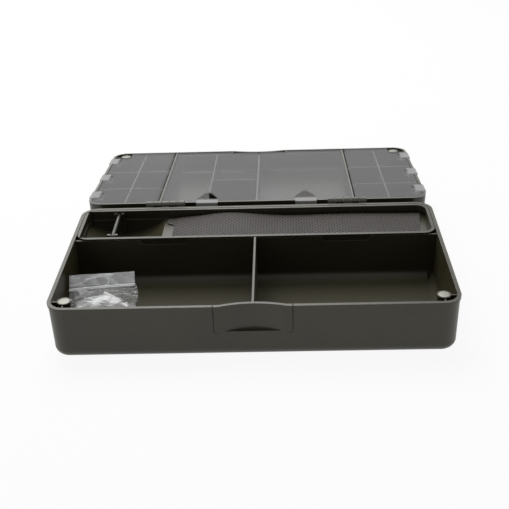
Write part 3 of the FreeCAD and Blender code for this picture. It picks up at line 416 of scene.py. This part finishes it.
@dataclass(frozen=True)
class PlatedSteel(Finish):
    """Plated or drawn steel with faint blemishes."""

    colour: tuple[float, float, float, float] = WHITE
    rough: float = 0.28

    def shade(self, graph: Graph) -> dict:
        """Cloudy gloss, small dark specks, and fine scratches."""
        cloud = graph.noise(300, 3)
        speck = graph.noise(1500, 2).step(0.66, 0.78)
        return {
            "Base Color": graph.tint(speck * 0.6, self.colour, toned(self.colour, 0.62)),
            "Roughness": self.rough + 0.18 * (cloud - 0.4) + 0.2 * speck,
            "Normal": graph.bump(graph.noise(2200, 1, (1, 0.1, 1)), 0.01 * MM),
        }


@dataclass(frozen=True)
class MeshRubber(Finish):
    """Grey rubber mat pressed with a mesh of raised diamonds, with painted shade near black in the hollows.
    """

    # low is near black: painted shade in the hollows between strands; high is the strands' grey.
    low: tuple[float, float, float, float] = WHITE
    high: tuple[float, float, float, float] = WHITE
    pitch: float = 2.9 * MM
    depth: float = 0.6 * MM
    slant: float = 32

    def shade(self, graph: Graph) -> dict:
        """Two sets of slanting strands; a strand's height is a rounded zigzag across it, and the higher one
        shows. The colour runs from the low tone in the hollows, painted shade, to the strands' grey."""
        strands = []
        for turn in (self.slant, -self.slant):
            spot = graph.node("ShaderNodeSeparateXYZ", {}, {0: graph.place((0, 0, turn))})
            across = graph.number(spot, "Y") / (self.pitch / 2)
            strands.append(across.ping_pong(1).step(0.25, 0.95))
        height = strands[0].at_least(strands[1])
        wear = graph.noise(30, 4)
        return {
            # Hollows painted dark as shade, strands grey, varied by wear.
            "Base Color": graph.tint(height * (0.75 + 0.5 * wear), self.low, self.high),
            "Roughness": 0.72 - 0.16 * height,
            "Normal": graph.bump(height, self.depth),
        }


@dataclass(frozen=True)
class PlainRubber(Finish):
    """Black rubber with a dry bloom."""

    colour: tuple[float, float, float, float] = WHITE

    def shade(self, graph: Graph) -> dict:
        """A pale bloom in patches and a fine grain."""
        bloom = graph.noise(500, 4).step(0.5, 0.8)
        return {
            "Base Color": graph.tint(bloom * 0.5, self.colour, toned(self.colour, 2.2, 0.01)),
            "Roughness": 0.6 + 0.15 * bloom,
            "Normal": graph.bump(graph.noise(1800, 2), 0.03 * MM),
        }


@dataclass(frozen=True)
class CrinkledFilm(Finish):
    """Thin clear film, milky where it is creased."""

    colour: tuple[float, float, float, float] = WHITE
    body: float = 0.15
    heap_place: float = 29 * MM
    heap_top: float = 37 * MM
    heap_slope: float = 0.48
    heap_edge: float = 2 * MM
    heap_ragged: float = 24 * MM
    mouth: tuple[float, float] = (46 * MM, 46.6 * MM)
    crease_depth: float = 0.35 * MM

    def upright(self, graph: Graph) -> tuple[Value, Value]:
        """The places across and up the bag, from the corner it stands on."""
        back = BAG_POSE.inverted()
        inputs = {"Vector": graph.place(), "Location": back.translation, "Rotation": back.to_euler()}
        spot = graph.node("ShaderNodeMapping", {}, inputs).outputs[0]
        split = graph.node("ShaderNodeSeparateXYZ", {}, {0: spot})
        return graph.number(split, "X"), graph.number(split, "Z")

    def shade(self, graph: Graph) -> dict:
        """Creases are the ridges of two noises. The film is milkier in them, where it hugs the heap of
        sleeves (below a ridge that falls off to both sides), and above the seal."""
        broad = graph.noise(52, 1, (0.45, 1.8, 1.8)) - 0.5
        fine = graph.noise(120, 1, (0.5, 1.4, 1.4)) - 0.5
        crease = 1 - (broad * broad * 1500).step(0, 1)
        crinkle = 1 - (fine * fine * 1200).step(0, 1)
        milk = 0.7 * crease + 0.3 * crinkle
        across, up = self.upright(graph)
        ridge = self.heap_top - self.heap_slope * (across - self.heap_place).size()
        ridge = ridge + self.heap_ragged * broad
        heap = 1 - (up - ridge).step(-self.heap_edge, self.heap_edge)
        flap = up.step(*self.mouth)
        return {
            "Base Color": self.colour,
            "Roughness": 0.12 + 0.12 * crinkle,
            "Alpha": self.body + 0.28 * milk + 0.5 * heap + 0.16 * flap,
            "Normal": graph.bump(milk, self.crease_depth),
        }


@dataclass(frozen=True)
class SatinWhite(Finish):
    """White or milky moulded plastic, a little darker in patches."""

    colour: tuple[float, float, float, float] = WHITE
    rough: float = 0.4

    def shade(self, graph: Graph) -> dict:
        """Slight change of tone from piece to piece and a soft grain."""
        cloud = graph.noise(140, 2)
        return {
            "Base Color": graph.tint(cloud.step(0.35, 0.7), self.colour, toned(self.colour, 0.82)),
            "Roughness": self.rough + 0.15 * (cloud - 0.5),
            "Normal": graph.bump(graph.noise(900, 2), 0.02 * MM),
        }


OLIVE = linear(47, 44, 26)
# Paler colour of edges: partly wear, partly painted highlight.
OLIVE_WORN_AND_LIT = linear(124, 122, 108)
OLIVE_MATT = linear(44, 41, 18)
# Pale colour of partition tops and edges: painted highlight, and wear on the edges.
OLIVE_PALE_WORN_AND_LIT = linear(126, 125, 120)


class Finishes(Enum):
    """Every finish of the box by the record's slot."""

    MOULDING = PanelledMoulding("olive_moulding", {"Specular IOR Level": 0.52}, OLIVE, OLIVE_WORN_AND_LIT,
                                matt=OLIVE_MATT)
    LID = SparkedMoulding("olive_lid_moulding", {}, OLIVE, OLIVE_WORN_AND_LIT, rough=0.34)
    PARTITION = PalePartition("olive_partition", {}, OLIVE, OLIVE_PALE_WORN_AND_LIT, rough=0.34)
    TRAY = SparkedMoulding("olive_tray_moulding", {}, OLIVE, OLIVE_WORN_AND_LIT, rough=0.34)
    COVER = SmokedClear("smoked_clear", {"Specular IOR Level": 0.0}, linear(176, 176, 177),
                        linear(180, 179, 177))
    MAGNET = PlatedSteel("nickel_plate", {"Metallic": 1.0}, linear(128, 127, 120), 0.5)
    PIN = PlatedSteel("drawn_wire", {"Metallic": 1.0}, linear(150, 150, 145), 0.4)
    MAT = MeshRubber("mesh_mat", {"Specular IOR Level": 0.3}, linear(3, 3, 3), linear(84, 79, 76))
    SPINDLE = SparkedMoulding("spindle_moulding", {}, linear(46, 45, 38), linear(120, 118, 110), rough=0.3)
    CLIP = PlainRubber("black_clip", {}, linear(20, 20, 20))
    FILM = CrinkledFilm("bag_film", {"IOR": 1.45}, linear(250, 251, 253))
    SEAL = SatinWhite("milky_seal", {"Alpha": 0.95}, linear(246, 247, 250), 0.25)
    SLEEVE = SatinWhite("white_sleeve", {}, linear(250, 250, 247), 0.4)


# Surfaces


def grid_faces(rows: int, columns: int, round_columns: bool) -> np.ndarray:
    """The quads of a grid of points numbered row by row.

    Args:
        rows, columns: how many points there are each way.
        round_columns: whether the last column joins the first.

    Returns:
        Four point numbers for each quad.
    """
    column = np.arange(columns if round_columns else columns - 1)
    row, column = np.meshgrid(np.arange(rows - 1), column, indexing="ij")
    beside = (column + 1) % columns
    near, far = row * columns, (row + 1) * columns
    return np.stack((near + column, far + column, far + beside, near + beside), -1).reshape(-1, 4)


def surface(name: str, points: np.ndarray, round_columns: bool = False,
            sharp: float = 50) -> bpy.types.Object:
    """A smooth object from a grid of points, its doubles merged and its faces turned outwards.

    Args:
        name: the piece's name.
        points: rows by columns by three, in metres.
        round_columns: whether each row of the grid closes on itself.
        sharp: the angle in degrees past which an edge stays sharp.

    Returns:
        The new object, at the origin.
    """
    faces = grid_faces(*points.shape[:2], round_columns)
    mesh = bpy.data.meshes.new(name)
    mesh.from_pydata(points.reshape(-1, 3).tolist(), [], faces.tolist())
    tidy = bmesh.new()
    tidy.from_mesh(mesh)
    bmesh.ops.remove_doubles(tidy, verts=tidy.verts, dist=1e-6)
    bmesh.ops.recalc_face_normals(tidy, faces=tidy.faces)
    tidy.to_mesh(mesh)
    tidy.free()
    mesh.polygons.foreach_set("use_smooth", np.ones(len(mesh.polygons), bool))
    mesh.set_sharp_from_angle(angle=math.radians(sharp))
    made = bpy.data.objects.new(name, mesh)
    bpy.context.scene.collection.objects.link(made)
    return made


def turned(name: str, profile: Iterable[tuple[float, float]], centre: Vector, axis: Vector,
           steps: int = 48) -> bpy.types.Object:
    """A turned piece: each point stands at radius r round the axis and at height h along it.

    Args:
        name: the piece's name.
        profile: pairs of radius and height in metres, from end to end.
        centre: where the axis starts.
        axis: the way the height runs.
        steps: how many sides the round has.

    Returns:
        The new object.
    """
    radius, height = np.array(list(profile)).T
    along = np.array(axis.normalized())
    first = np.array(axis.orthogonal().normalized())
    second = np.cross(along, first)
    angle = np.linspace(0, 2 * np.pi, steps, endpoint=False)
    ring = np.cos(angle)[None, :, None] * first + np.sin(angle)[None, :, None] * second
    points = np.array(centre) + radius[:, None, None] * ring + height[:, None, None] * along
    return surface(name, points, round_columns=True)


def rounded_profile(radius: float, low: float, high: float, soft: float, bore: float = 0) -> list:
    """A disc's or ring's half section, its rims rounded by quarter circles of radius soft.

    Args:
        radius: the outer radius.
        low, high: the two ends along the axis.
        soft: the radius of the rims.
        bore: the inner radius, or zero for a solid disc.

    Returns:
        Pairs of radius and height; a ring's section ends where it starts.
    """
    quarter = np.linspace(0, np.pi / 2, 5)
    out, up = soft * np.sin(quarter), soft * (1 - np.cos(quarter))
    section = [(bore, low)]
    section += list(zip(radius - soft + out, low + up))
    section += list(zip(radius - soft + out[::-1], high - up[::-1]))
    section.append((bore, high))
    if bore:
        section.append((bore, low))
    return section


def closed(points: np.ndarray) -> np.ndarray:
    """Closes the loops along a sheet: each end gets a last loop whose points meet their partners on the
    other face half way.

    Args:
        points: loops by points by three, each loop running up one face and down the other.

    Returns:
        The same with one loop more at either end.
    """
    first, last = ((end + end[:, ::-1]) / 2 for end in (points[:1], points[-1:]))
    return np.concatenate([first, points, last])


def give(piece: bpy.types.Object, body: str, slot: str, finish: bpy.types.Material, *nodes: str) -> None:
    """Finishes and reports a new piece, lets it ride on a body and puts it in the place of CAD nodes.

    Args:
        piece: the new object.
        body: the body that carries it.
        slot: not used.
        finish: its material.
        nodes: the nodes that it stands for.
    """
    piece.data.materials.append(finish)
    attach(piece, body)
    if nodes:
        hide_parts(*nodes)
    log.info("made %s", piece.name)


def dress(nodes: Iterable[str], finish: bpy.types.Material) -> None:
    """Gives CAD nodes a finish in their material slots, and reports each."""
    for name in nodes:
        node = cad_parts[name]
        node.data.materials.clear()
        node.data.materials.append(finish)
        log.info("dressed %s", name)


# The box


@dataclass
class Mouldings:
    """The base, the lid with its walls, and the tray."""

    base: tuple[str, ...] = ("base_tub",)
    lid: tuple[str, ...] = ("lid_shell", "lid_section_wall_left", "lid_section_wall_right")
    partitions: tuple[str, ...] = ("lid_centre_wall", "lid_grid_left", "lid_grid_right",
                                   "lid_mid_partition")
    tray: tuple[str, ...] = ("tray",)

    def build(self) -> None:
        """The mouldings are the CAD nodes; there is nothing more to make."""

    def dress(self) -> None:
        """Gives the mouldings their finishes."""
        dress(self.base, Finishes.MOULDING.value.material())
        dress(self.lid, Finishes.LID.value.material())
        dress(self.partitions, Finishes.PARTITION.value.material())
        dress(self.tray, Finishes.TRAY.value.material())


@dataclass
class Covers:
    """The four clear covers over the lid's compartments."""

    nodes: tuple[str, ...] = ("cover_side_left", "cover_side_right", "cover_mid_left", "cover_mid_right")

    def build(self) -> None:
        """The covers are the CAD nodes; there is nothing more to make."""

    def dress(self) -> None:
        """Gives the covers their smoked clear finish."""
        dress(self.nodes, Finishes.COVER.value.material())


@dataclass
class Metalwork:
    """The corner magnets and the hinge pins."""

    rim: float = 0.35 * MM
    pins: tuple[str, ...] = ("hinge_pin_left", "hinge_pin_right")

    def build(self) -> None:
        """Turns each magnet as a disc with rounded rims in its node's place."""
        finish = Finishes.MAGNET.value.material()
        tilted = Vector((0, math.sin(LID_TILT), math.cos(LID_TILT)))
        for side in ("left", "right"):
            self.disc("base_magnet_" + side, "base", Vector((0, 0, 1)), finish)
            self.disc("lid_magnet_" + side, "lid", tilted, finish)

    def disc(self, node: str, body: str, axis: Vector, finish: bpy.types.Material) -> None:
        """One magnet about its node's centre; its radius is half the node's width along X."""
        low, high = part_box(node)
        radius = (high.x - low.x) / 2
        half = ((high.z - low.z) / 2 - radius * abs(axis.y)) / axis.z
        section = rounded_profile(radius, -half, half, self.rim)
        piece = turned(node.replace("magnet", "disc"), section, (low + high) / 2, axis)
        give(piece, body, "magnet", finish, node)

    def dress(self) -> None:
        """Gives the pins their finish."""
        dress(self.pins, Finishes.PIN.value.material())


@dataclass
class Spindle:
    """The rod that a spool of line turns on, and the ring clipped round it."""

    end: float = 0.7 * MM
    clip_rim: float = 0.5 * MM
    clip_play: float = 0.05 * MM
    sides: int = 32

    def build(self) -> None:
        """Turns the rod with rounded ends, and the ring with rounded rims."""
        low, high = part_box("spool_spindle")
        bore = (high.x - low.x) / 2 + self.clip_play
        rod = self.along_y("spool_rod", "spool_spindle", self.end)
        give(rod, "spindle", "spindle", Finishes.SPINDLE.value.material(), "spool_spindle")
        ring = self.along_y("rod_clip", "spindle_clip", self.clip_rim, bore)
        give(ring, "clip", "clip", Finishes.CLIP.value.material(), "spindle_clip")

    def along_y(self, name: str, node: str, soft: float, bore: float = 0) -> bpy.types.Object:
        """A piece turned about Y that fills its node's box.

        Args:
            name: the new piece's name.
            node: the node whose box gives its radius and ends.
            soft: the radius of its rims.
            bore: its inner radius, or zero.

        Returns:
            The new object.
        """
        low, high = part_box(node)
        centre = Vector(((low.x + high.x) / 2, low.y, (low.z + high.z) / 2))
        section = rounded_profile((high.x - low.x) / 2, 0, high.y - low.y, soft, bore)
        return turned(name, section, centre, Vector((0, 1, 0)), self.sides)

    def dress(self) -> None:
        """Both pieces are finished as they are made."""


@dataclass
class Mat:
    """The mesh mat lying over the tray's long bay."""

    left: float = -84 * MM
    ear: float = 7.5 * MM
    ear_start: float = 0.72
    ear_step: float = 0.1
    right_front: float = 161.5 * MM
    right_back: float = 168.5 * MM
    front: float = 36.2 * MM
    back: float = 91.6 * MM
    rest: float = 42.5 * MM
    thick: float = 1.5 * MM
    thin_share: float = 0.3
    thin_reach: float = 8 * MM
    bow: float = 4.9 * MM
    bow_place: float = -29 * MM
    bow_left: float = 33 * MM
    bow_right: float = 40 * MM
    lift: float = 1.0 * MM
    lift_place: float = 92 * MM
    lift_reach: float = 42 * MM
    ripple: float = 0.12 * MM
    ripple_along: float = 9 * MM
    ripple_bend: float = 21 * MM
    ripple_across: float = 17 * MM
    columns: int = 260
    rows: int = 72

    def build(self) -> None:
        """Lays the sheet.

        Across, v runs from the front edge to the back edge, and along, u runs from the left edge to the
        right one. The left edge steps out into the ear with a smooth step in v, and the right edge slants.
        The sheet thins towards the ear. Its underside stands at the rest height plus a bell round the
        bow's place, steeper on its left, plus a low bell further right, plus ripples that are sines of both
        places.
        """
        u, v = np.meshgrid(np.linspace(0, 1, self.columns), np.linspace(0, 1, self.rows), indexing="ij")
        step = np.clip((v - self.ear_start) / self.ear_step, 0, 1)
        left = self.left - self.ear * step * step * (3 - 2 * step)
        right = self.right_front + (self.right_back - self.right_front) * v
        x = left + (right - left) * u
        y = self.front + (self.back - self.front) * v
        width = np.where(x < self.bow_place, self.bow_left, self.bow_right)
        rise = self.bow * np.exp(-(((x - self.bow_place) / width) ** 2)) * (0.86 + 0.14 * v)
        rise += self.lift * np.exp(-(((x - self.lift_place) / self.lift_reach) ** 2)) * (0.7 + 0.3 * v)
        ripple = np.sin(x / self.ripple_along + 2.1 * np.sin(y / self.ripple_bend))
        ripple *= np.sin(y / self.ripple_across + 0.7)
        whole = np.clip((x - self.left) / self.thin_reach, 0, 1)
        thick = self.thick * (self.thin_share + (1 - self.thin_share) * whole)
        under = np.stack([x, y, self.rest + rise + self.ripple * (1 + ripple)], -1)
        top = under + thick[:, :, None] * np.array([0, 0, 1])
        points = np.concatenate([top, under[:, ::-1]], 1)
        shell = surface("mesh_mat", closed(points), round_columns=True, sharp=40)
        give(shell, "mat", "mat", Finishes.MAT.value.material(), "tray_mat")
        length = (self.right_front + self.right_back) / 2 - self.left
        size = (self.right_back - self.left + self.ear, self.back - self.front)
        area = length * size[1] + self.ear * (1 - self.ear_start) * size[1]
        area * 1.01

    def dress(self) -> None:
        """The mat is finished as it is made."""


@dataclass
class GripBag:
    """The grip-seal bag of white sleeves, lying back in the left compartment."""

    width: float = 61 * MM
    height: float = 58 * MM
    pouch_width: float = 54 * MM
    pouch_height: float = 43 * MM
    deep: float = 9.6 * MM
    seam: float = 0.25 * MM
    seal_low: float = 43.6 * MM
    seal_high: float = 46.2 * MM
    seal_fall: float = 1.9 * MM
    seal_bead: float = 0.45 * MM
    seal_back: float = 0.25 * MM
    fold_across: tuple[float, float] = (5.1 * MM, 8.3 * MM)
    fold_up: tuple[float, float] = (4.3 * MM, 11 * MM)
    fold_slant: float = 3.1 * MM
    fold_depth: float = 0.5 * MM
    fold_seed: float = 0.8
    fade_reach: float = 6 * MM
    lip: float = 0.5 * MM
    lip_wave: float = 9 * MM
    flap_reach: float = 3.4 * MM
    flap_bend: float = 0.62 * math.pi
    flap_low: float = 27 * MM
    flap_tall: float = 18 * MM
    flap_thick: float = 0.12 * MM
    across: int = 96
    up: int = 72

    def laid(self, points: np.ndarray) -> np.ndarray:
        """Leans points of the upright bag back about X, turns them about Z and moves them into the
        compartment."""
        return points @ np.array(BAG_LEAN.to_3x3()).T + np.array(BAG_CORNER)

    def build(self) -> None:
        """Makes the film, its loose flap and the seal strip."""
        film = self.film()
        finish = Finishes.FILM.value.material()
        give(film, "bag", "film", finish, "bag_film")
        give(self.flap(), "bag", "film", finish)
        give(self.seal(), "bag", "seal", Finishes.SEAL.value.material(), "bag_seal")

    def crumple(self, x: np.ndarray, z: np.ndarray) -> np.ndarray:
        """Creases of both signs: sines of both places whose phases bend each other, sharpest along their
        crests."""
        seed = self.fold_seed
        upright = np.sin(x / self.fold_across[0] + 1.8 * np.sin(z / self.fold_across[1] + seed))
        level = np.sin(z / self.fold_up[0] + 1.5 * np.sin(x / self.fold_up[1] + 2 * seed))
        slanted = np.sin((x + z) / self.fold_slant + seed * 3)
        return 0.5 * (1 - 2 * np.abs(upright)) + 0.35 * (1 - 2 * np.abs(level)) + 0.15 * slanted

    def film(self) -> bpy.types.Object:
        """A loop round the bag at each height.

        Half the pouch's depth at a height is that of a circle's arc over the pouch, times the square root
        of a parabola across its width; above the pouch the two sheets run close together. Creases push both
        sheets, and fade towards the side seams and the foot. Above the seal the mouth's lip waves open.
        """
        side = np.linspace(0, 1, self.across)
        x = self.width * np.concatenate([side, side[::-1]])
        sign = np.concatenate([-np.ones(self.across), np.ones(self.across)])
        z = self.height * np.linspace(0, 1, self.up)
        x, z = np.meshgrid(x, z)
        sign = np.broadcast_to(sign, x.shape)
        chord = np.clip(z / self.pouch_height, 0, 1)
        arc = np.clip(4 * chord * (1 - chord), 0, 1)
        margin = (self.width - self.pouch_width) / 2
        inside = np.clip((x - margin) / self.pouch_width, 0, 1)
        bulge = np.sqrt(np.clip(4 * inside * (1 - inside), 0, 1))
        depth = self.deep * arc * bulge
        share = x / self.width
        fade = np.clip(12 * share * (1 - share), 0, 1) * np.clip(z / self.fade_reach, 0, 1)
        push = self.crumple(x, z) * np.where(sign > 0, 0.6, 1.0) * (self.fold_depth + 0.07 * depth)
        above = np.clip((z - self.seal_high) / self.fade_reach, 0, 1)
        lip = self.lip * above * (1 + np.sin(x / self.lip_wave))
        y = sign * (self.seam + depth + lip * 0.6) + push * fade
        points = self.laid(np.stack([x, y, z], -1))
        return surface("bag_pouch", closed(points), round_columns=True, sharp=70)

    def flap(self) -> bpy.types.Object:
        """A curl of film that stands off the right seam: a strip whose section is part of an oval, which
        waves in and out on its way up and narrows to both ends."""
        v, w = np.meshgrid(np.linspace(0, 1, 36), np.linspace(0, 1, 14), indexing="ij")
        bend = w * self.flap_bend
        reach = self.flap_reach * np.sin(np.pi * (0.15 + 0.8 * v)) ** 0.7
        x = self.width - 0.4 * MM + reach * np.sin(bend) * 0.9
        y = -reach * (1 - np.cos(bend)) * 0.55 + 0.4 * MM * np.sin(v * 23)
        z = self.flap_low + self.flap_tall * v + 1.0 * MM * np.sin(bend * 2)
        strip = np.stack([x, y, z], -1)
        back = strip + self.flap_thick * np.array([1, 1, 0])
        points = self.laid(np.concatenate([strip, back[:, ::-1]], 1))
        return surface("bag_flap", closed(points), round_columns=True, sharp=70)

    def seal(self) -> bpy.types.Object:
        """The seal's section carried along the bag's width: two round beads on a thin strip."""
        height = np.linspace(self.seal_low, self.seal_high, 15)
        share = (height - self.seal_low) / (self.seal_high - self.seal_low)
        bead = self.seal_bead * (1 + np.abs(np.sin(2 * np.pi * share)))
        z = np.concatenate([height, height[::-1]])
        y = np.concatenate([-(self.seam + bead), np.full(len(height), self.seam + self.seal_back)])
        x = np.linspace(0, self.width, 60)[:, None] + 0 * z
        sway = 0.25 * MM * np.sin(x / (13 * MM)) - self.seal_fall * (1 - x / self.width)
        points = self.laid(np.stack([x, y + 0 * x, z + sway], -1))
        return surface("grip_seal", closed(points), round_columns=True, sharp=60)

    def dress(self) -> None:
        """Gives the sleeves their white finish."""
        dress(("bag_sleeves",), Finishes.SLEEVE.value.material())


# The studio


@dataclass(frozen=True)
class Softbox:
    """A square soft lamp: where it stands, what it faces, its side and its power in watts."""

    name: str
    place: tuple[float, float, float]
    aim: tuple[float, float, float]
    size: float
    watts: float

    def build(self) -> None:
        """Makes the lamp."""
        data = bpy.data.lights.new(self.name, "AREA")
        data.size, data.energy = self.size, self.watts
        made = bpy.data.objects.new(self.name, data)
        made.location = self.place
        made.rotation_euler = (Vector(self.aim) - Vector(self.place)).to_track_quat("-Z", "Y").to_euler()
        bpy.context.scene.collection.objects.link(made)


@dataclass
class Studio:
    """Pale floor, soft lamps, white surroundings, and the camera where the photograph was taken from."""

    place: tuple[float, float, float] = (26.5 * MM, -785.3 * MM, 474.6 * MM)
    pitch: float = math.radians(28.463)
    yaw: float = math.radians(-1.937)
    roll: float = math.radians(-2.045)
    lens_mm: float = 66.66
    sensor_mm: float = 36.0
    clip: tuple[float, float] = (0.01, 50.0)
    floor_size: float = 8.0
    floor_drop: float = 0.2 * MM
    floor_colour: tuple[float, float, float, float] = (0.9, 0.9, 0.9, 1.0)
    floor_glow: float = 0.92
    ambient: float = 0.14
    softboxes: tuple[Softbox, ...] = (
        Softbox("top_softbox", (-0.3, 0.75, 1.4), (0, 0.1, 0), 1.2, 23.0),
        Softbox("back_softbox", (-0.35, 1.9, 1.05), (0, 0.1, 0), 1.6, 8.5),
        Softbox("left_softbox", (-1.3, -0.9, 0.8), (0, 0, 0.05), 1.0, 2.5),
    )

    def build(self) -> None:
        """Makes the camera, floor, lamps and surroundings."""
        self.camera()
        self.floor()
        for softbox in self.softboxes:
            softbox.build()
        self.surroundings()

    def camera(self) -> None:
        """The view runs along the heading and down by the pitch; the roll turns the frame about it."""
        level = math.cos(self.pitch)
        heading = Vector((math.sin(self.yaw), math.cos(self.yaw), 0))
        ahead = level * heading - Vector((0, 0, math.sin(self.pitch)))
        right = Vector((math.cos(self.yaw), -math.sin(self.yaw), 0))
        up = right.cross(ahead)
        rolled = right * math.cos(self.roll) + up * math.sin(self.roll)
        upright = up * math.cos(self.roll) - right * math.sin(self.roll)
        turn = Matrix((rolled, upright, -ahead)).transposed().to_4x4()
        data = bpy.data.cameras.new("photo_camera")
        data.lens, data.sensor_width = self.lens_mm, self.sensor_mm
        data.clip_start, data.clip_end = self.clip
        made = bpy.data.objects.new("photo_camera", data)
        made.matrix_world = Matrix.Translation(self.place) @ turn
        bpy.context.scene.collection.objects.link(made)
        bpy.context.scene.camera = made

    def seen(self, graph: Graph) -> Value:
        """One for camera, mirror and glass rays, which see the studio white."""
        path = graph.node("ShaderNodeLightPath", {}, {})
        looks = graph.number(path, "Is Camera Ray").at_least(graph.number(path, "Is Glossy Ray"))
        return looks.at_least(graph.number(path, "Is Transmission Ray"))

    def floor(self) -> None:
        """A pale sheet that keeps the shadow and is lifted towards white where it is looked at."""
        half = self.floor_size / 2
        line = np.linspace(-half, half, 3)
        x, y = np.meshgrid(line, line, indexing="ij")
        made = surface("pale_floor", np.stack([x, y, 0 * x - self.floor_drop], -1))
        finish = bpy.data.materials.new("pale_floor")
        finish.use_nodes = True
        graph = Graph(finish.node_tree)
        cloth = graph.node("ShaderNodeBsdfDiffuse", {}, {"Color": self.floor_colour})
        glow = graph.node("ShaderNodeEmission", {}, {"Color": WHITE, "Strength": 1.0})
        inputs = {0: self.seen(graph) * self.floor_glow, 1: cloth.outputs[0], 2: glow.outputs[0]}
        mixed = graph.node("ShaderNodeMixShader", {}, inputs)
        graph.node("ShaderNodeOutputMaterial", {}, {"Surface": mixed.outputs[0]})
        made.data.materials.append(finish)

    def surroundings(self) -> None:
        """A soft white world: dim as a lamp and white as a background."""
        world = bpy.data.worlds.new("white_surroundings")
        world.use_nodes = True
        bpy.context.scene.world = world
        graph = Graph(world.node_tree)
        lit = self.ambient + (1 - self.ambient) * self.seen(graph)
        sky = graph.node("ShaderNodeBackground", {}, {"Color": WHITE, "Strength": lit})
        graph.node("ShaderNodeOutputWorld", {}, {"Surface": sky.outputs[0]})
        bpy.context.scene.view_settings.view_transform = "Standard"


def main() -> None:
    """Builds and dresses each sub-assembly in order."""
    logging.basicConfig(level=logging.INFO, format="%(message)s")
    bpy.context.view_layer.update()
    Studio().build()
    for part in (Mouldings(), Covers(), Metalwork(), Spindle(), Mat(), GripBag()):
        part.build()
        part.dress()
        log.info("%s ready", type(part).__name__)


if __name__ == "__main__":
    main()
